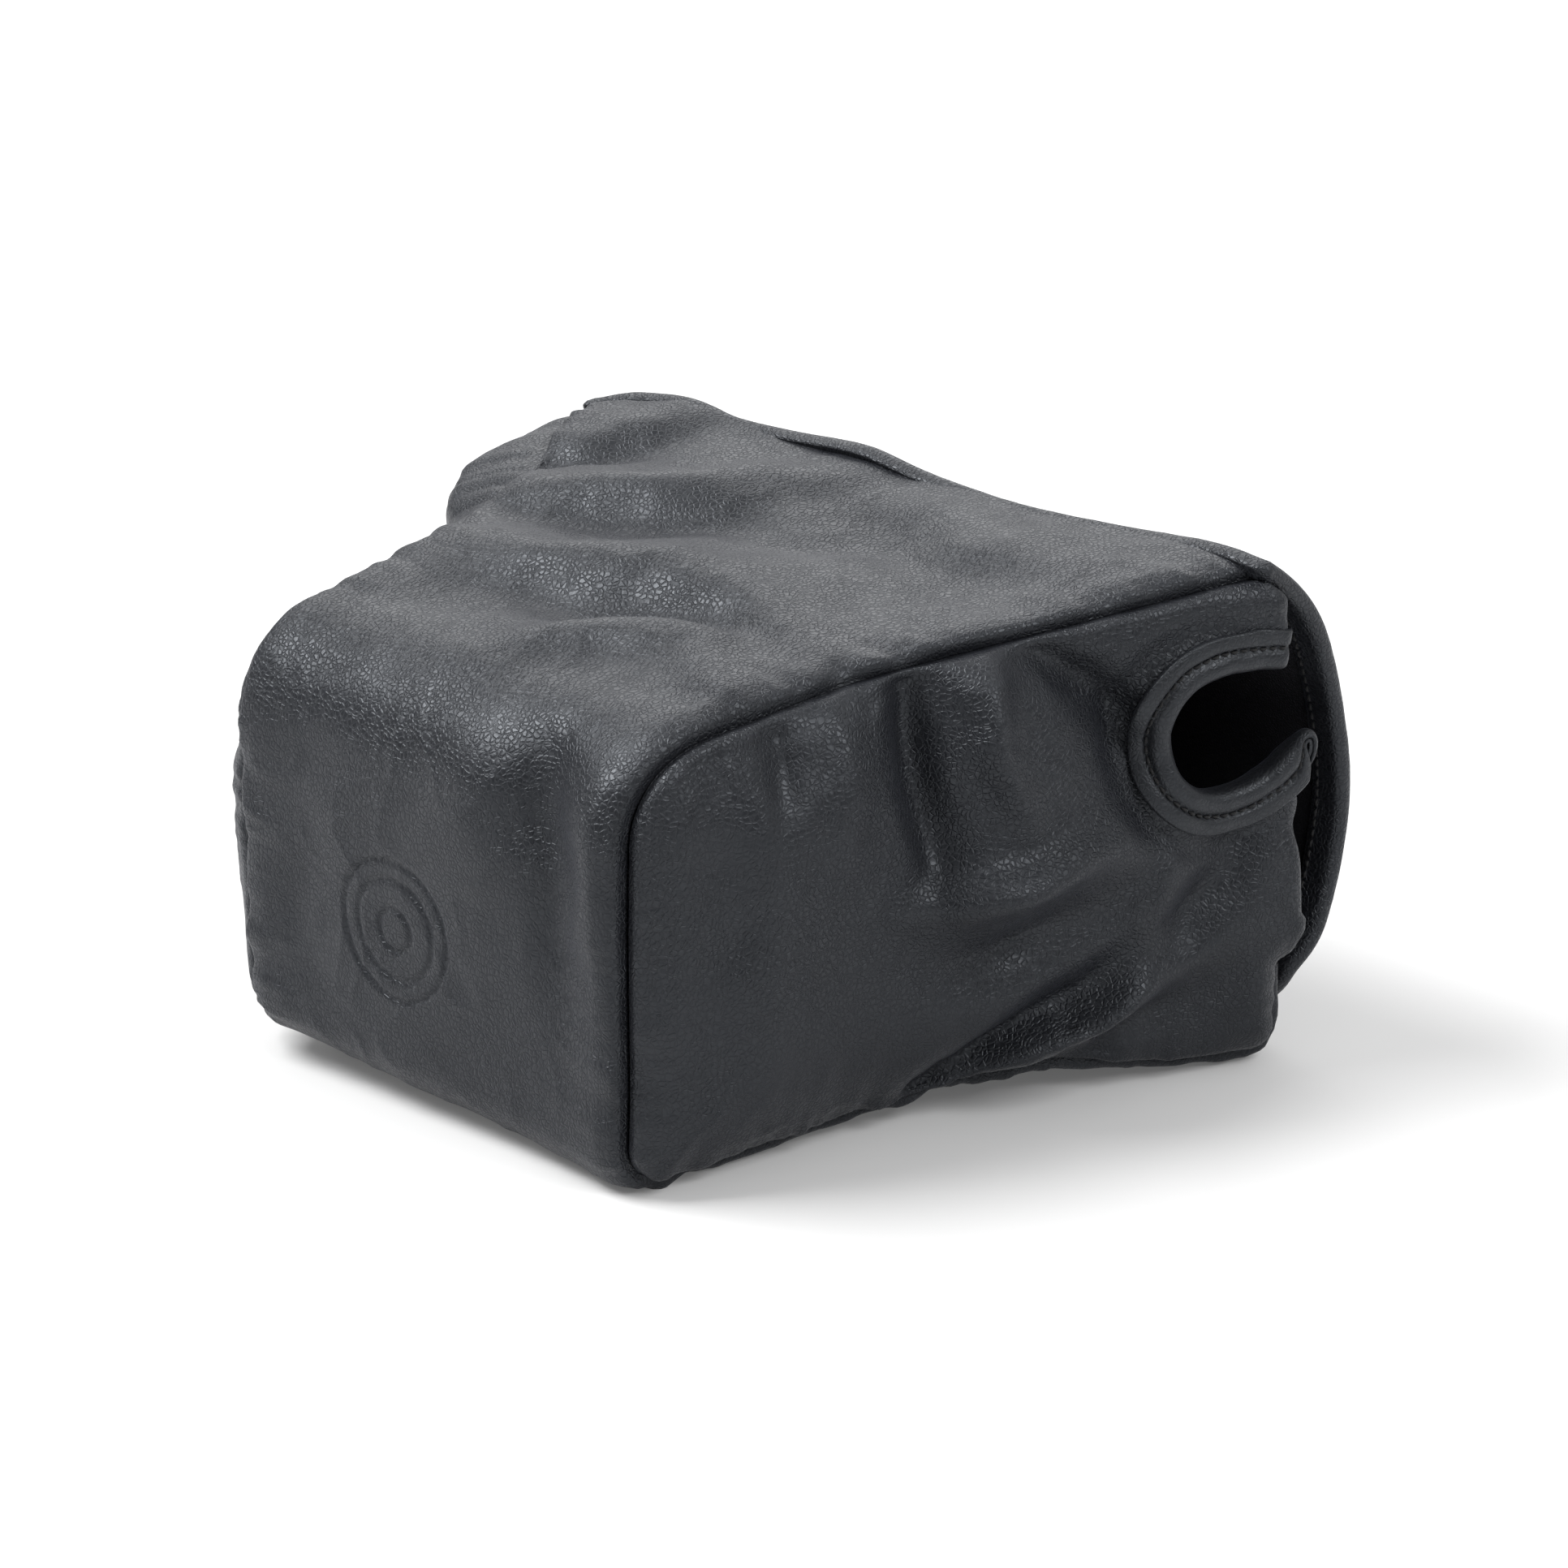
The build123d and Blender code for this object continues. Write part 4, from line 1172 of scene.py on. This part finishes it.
def build_notch(side, name):
    """Make one notch's binding and its stitches."""
    binding = notch_binding(side, f"soft_{name}_notch_binding")
    dress(binding, EDGE_NAPPA, "edge_leather", "pouch", f"{name}_notch_binding")
    seam, normals = binding_rail(side, *BINDING_SEAM, BINDING_SEAM_PHASE)
    sewn = np.s_[2:np.searchsorted(NOTCH_WALK, NOTCH_WALK[-1] - NOTCH_TAIL)]
    stitches = stitch_row(f"soft_{name}_notch_stitches", seam[sewn], normals[sewn])
    dress(stitches, THREAD, "thread", "pouch", f"{name}_notch_stitches")


build_wrap()
for side, side_name in ((RIGHT, "right"), (LEFT, "left")):
    build_gusset(side, side_name)
    build_notch(side, side_name)


# ---------------------------------------------------------------- build the flap
def soft_flap(start, inset, step, columns):
    """Lay out the flap's outer face and give it its soft shape."""
    grid, outward = flap_grid(start, inset, step, columns)
    grid = grid + flap_shift(grid, outward)
    return grid, outward, grid_normals(grid, outward)


def build_flap():
    """Make the flap's leather, with its turned edge, and its foam and lining."""
    grid, outward, normals = soft_flap(0.0, 0.0, 1.0, 150)
    grid = grid + normals * (FLAP_WRINKLE * wrinkles(grid, 71))[..., None]
    free = np.ones(grid.shape[:2])
    free[0] = 0
    leather = sheet_object(
        "soft_flap_leather", grid, outward, free, facing=FLAP_FACING, radius=FLAP_WALL / 2
    )
    dress(leather, NAPPA, "nappa_leather", None, "flap_leather", "flap_edge_binding")
    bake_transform(leather)

    grid, outward, normals = soft_flap(FLAP_LINING_START, FLAP_LINING_INSET, 3.0, 60)
    for (layer, depth, thickness), material, slot in zip(
        FLAP_LAYERS, (FOAM_SKIN, VELVET), ("foam", "velvet_lining")
    ):
        piece = plain_sheet(f"soft_flap_{layer}", grid - normals * depth, outward, None, thickness)
        dress(piece, material, slot, "rear_flap", f"flap_{layer}")


def flap_stitches():
    """Sew the turned edge inside the flap, and the seam across its top."""
    grid, _, normals = soft_flap(HINGE_SEAM_WALK, FLAP_RIM_SEAM, 1.0, 80)
    rim = [np.s_[4:, 0], np.s_[-1, 1:], np.s_[-2:4:-1, -1]]
    points = np.vstack([grid[part] - normals[part] * FLAP_WALL for part in rim])
    facing = np.vstack([-normals[part] for part in rim])
    stitches = stitch_row("soft_flap_edge_stitches", points, facing)
    dress(stitches, THREAD, "thread", "rear_flap", "flap_edge_stitches")
    seam = stitch_row("soft_hinge_seam_stitches", grid[0] + normals[0] * 0.05, normals[0], HINGE_THREAD)
    dress(seam, THREAD, "thread", "rear_flap", "hinge_seam_stitches")


TAPE = 0.9                 # thickness of the hook and loop strips
TAPE_LIFT = 0.5            # keeps the loop tape clear of the lip's soft unevenness
LOOP_TAPE_EDGES = ((-27, 27, 110), (7.3, 14.3, 15))    # x and z: first, last and samples
HOOK_TAPE_EDGES = ((-25, 25, 100), (6.7, 11.6, 11))


def tape(grid, outward, material, slot, body, node):
    """Make a strip of tape on a surface, with a stitch row along each long edge."""
    normals = grid_normals(grid, outward)
    pile = grid + normals * (TAPE + 0.12 * ripple(grid, 0.9, 81))[..., None]
    strip = plain_sheet(f"soft_{node}", pile, outward, None, TAPE + 0.15)
    dress(strip, material, slot, body, node)
    rows = [stitch_row(f"soft_{node}_stitches", grid[row] + normals[row] * (TAPE + 0.1), normals[row])
            for row in (1, -2)]
    dress(joined(rows), THREAD, "thread", body, f"{node}_stitches")


def joined(things):
    """Put the meshes of several objects into the first one and remove the others."""
    work = bmesh.new()
    for thing in things:
        work.from_mesh(thing.data)
    work.to_mesh(things[0].data)
    work.free()
    for thing in things[1:]:
        bpy.data.objects.remove(thing)
    return things[0]


def upright(edges, y):
    """Lay out an upright strip at one y."""
    x, z = np.meshgrid(*(np.linspace(*edge) for edge in edges))
    return np.stack([x, np.full(x.shape, y), z], -1)


def build_tapes():
    """Make the loop tape on the lip's rear face and the hook tape inside the flap's tip."""
    grid = upright(LOOP_TAPE_EDGES, LIP_Y + TAPE_LIFT)
    grid = grid + wrap_shift(grid, MOUTH_HALF_WIDTH - np.abs(grid[..., 0]))
    outward = np.broadcast_to(-AHEAD, grid.shape)
    tape(grid, outward, LOOP_TAPE, "loop_tape", "pouch", "loop_strip")

    grid = upright(HOOK_TAPE_EDGES, FLAP_PROFILE[-1, 0])
    outward = np.broadcast_to(AHEAD, grid.shape)
    grid = grid + flap_shift(grid, -outward) + outward * FLAP_LINING_FACE
    tape(grid, outward, HOOK_TAPE, "hook_tape", "rear_flap", "hook_strip")


build_flap()
flap_stitches()
build_tapes()


# ---------------------------------------------------------------- studio
CAMERA_AZIMUTH = 42.46
CAMERA_ELEVATION = 20.43
CAMERA_DISTANCE = 0.8368
CAMERA_TARGET = Vector((0.0253, (MOUTH_Y - 60.0) * MM, 0.0536))
CAMERA_LENS = 121.1
SENSOR = 36.0
HORIZON_LIGHT = 0.12
OVERHEAD_LIGHT = 0.55
BACK_LIGHT = 0.5
FLOOR_HALF = 6.0           # metres
FLOOR_WHITE = 0.6
FLOOR_GLOW = 0.1
LIGHT_TARGET = Vector((0, 0, 0.04))

# Soft lights: name, azimuth, elevation, distance, size, power
SOFTBOXES = [
    ("key_softbox", -50, 53, 1.8, 0.9, 45),
    ("back_softbox", -136, 34, 1.9, 1.3, 12),
    ("right_softbox", 90, 44, 1.8, 0.8, 16),
]


def direction(azimuth, elevation):
    """Return the unit vector from the object towards an azimuth and elevation in degrees."""
    a, e = math.radians(azimuth), math.radians(elevation)
    return Vector((math.sin(a) * math.cos(e), -math.cos(a) * math.cos(e), math.sin(e)))


def add_camera():
    """Put the camera at the photo's viewing angle."""
    data = bpy.data.cameras.new("camera")
    data.lens = CAMERA_LENS
    data.sensor_width = SENSOR
    camera = bpy.data.objects.new("camera", data)
    camera.location = CAMERA_TARGET + direction(CAMERA_AZIMUTH, CAMERA_ELEVATION) * CAMERA_DISTANCE
    camera.rotation_euler = (CAMERA_TARGET - camera.location).to_track_quat("-Z", "Y").to_euler()
    bpy.context.scene.collection.objects.link(camera)
    bpy.context.scene.camera = camera


def add_softbox(name, azimuth, elevation, distance, size, power):
    """Aim a square soft light at the pouch."""
    data = bpy.data.lights.new(name, "AREA")
    data.shape = "SQUARE"
    data.size = size
    data.energy = power
    light = bpy.data.objects.new(name, data)
    light.location = direction(azimuth, elevation) * distance + LIGHT_TARGET
    light.rotation_euler = (LIGHT_TARGET - light.location).to_track_quat("-Z", "Y").to_euler()
    bpy.context.scene.collection.objects.link(light)


def add_floor():
    """Lay a plain white floor that reaches past the view."""
    corners = [(x * FLOOR_HALF, y * FLOOR_HALF, 0) for x, y in ((-1, -1), (1, -1), (1, 1), (-1, 1))]
    mesh = bpy.data.meshes.new("floor")
    mesh.from_pydata(corners, [], [(0, 1, 2, 3)])
    floor = bpy.data.objects.new("floor", mesh)
    bpy.context.scene.collection.objects.link(floor)
    material, _, _, shader = new_material("floor_white")
    shader.inputs["Base Color"].default_value = (FLOOR_WHITE, FLOOR_WHITE, FLOOR_WHITE, 1)
    shader.inputs["Emission Color"].default_value = (1, 1, 1, 1)
    shader.inputs["Emission Strength"].default_value = FLOOR_GLOW
    shader.inputs["Roughness"].default_value = 0.9
    shader.inputs["Specular IOR Level"].default_value = 0.1
    mesh.materials.append(material)


def add_world():
    """Surround the pouch with white light, brighter overhead and behind."""
    world = bpy.data.worlds.new("studio")
    world.use_nodes = True
    nodes, links = world.node_tree.nodes, world.node_tree.links
    place = nodes.new("ShaderNodeTexCoord")
    split = nodes.new("ShaderNodeSeparateXYZ")
    links.new(place.outputs["Generated"], split.inputs["Vector"])
    above, back = split.outputs["Z"], split.outputs["Y"]
    overhead = ranged(nodes, links, above, HORIZON_LIGHT, OVERHEAD_LIGHT, 0.1, 0.75, eased=True)
    behind = ranged(nodes, links, back, 0.0, BACK_LIGHT, eased=True)
    strength = math_node(nodes, links, "ADD", overhead, behind)
    links.new(strength, nodes["Background"].inputs["Strength"])
    nodes["Background"].inputs["Color"].default_value = (1, 1, 1, 1)
    bpy.context.scene.world = world


add_camera()
add_floor()
add_world()
for softbox in SOFTBOXES:
    add_softbox(*softbox)
bpy.context.scene.view_settings.view_transform = "Standard"
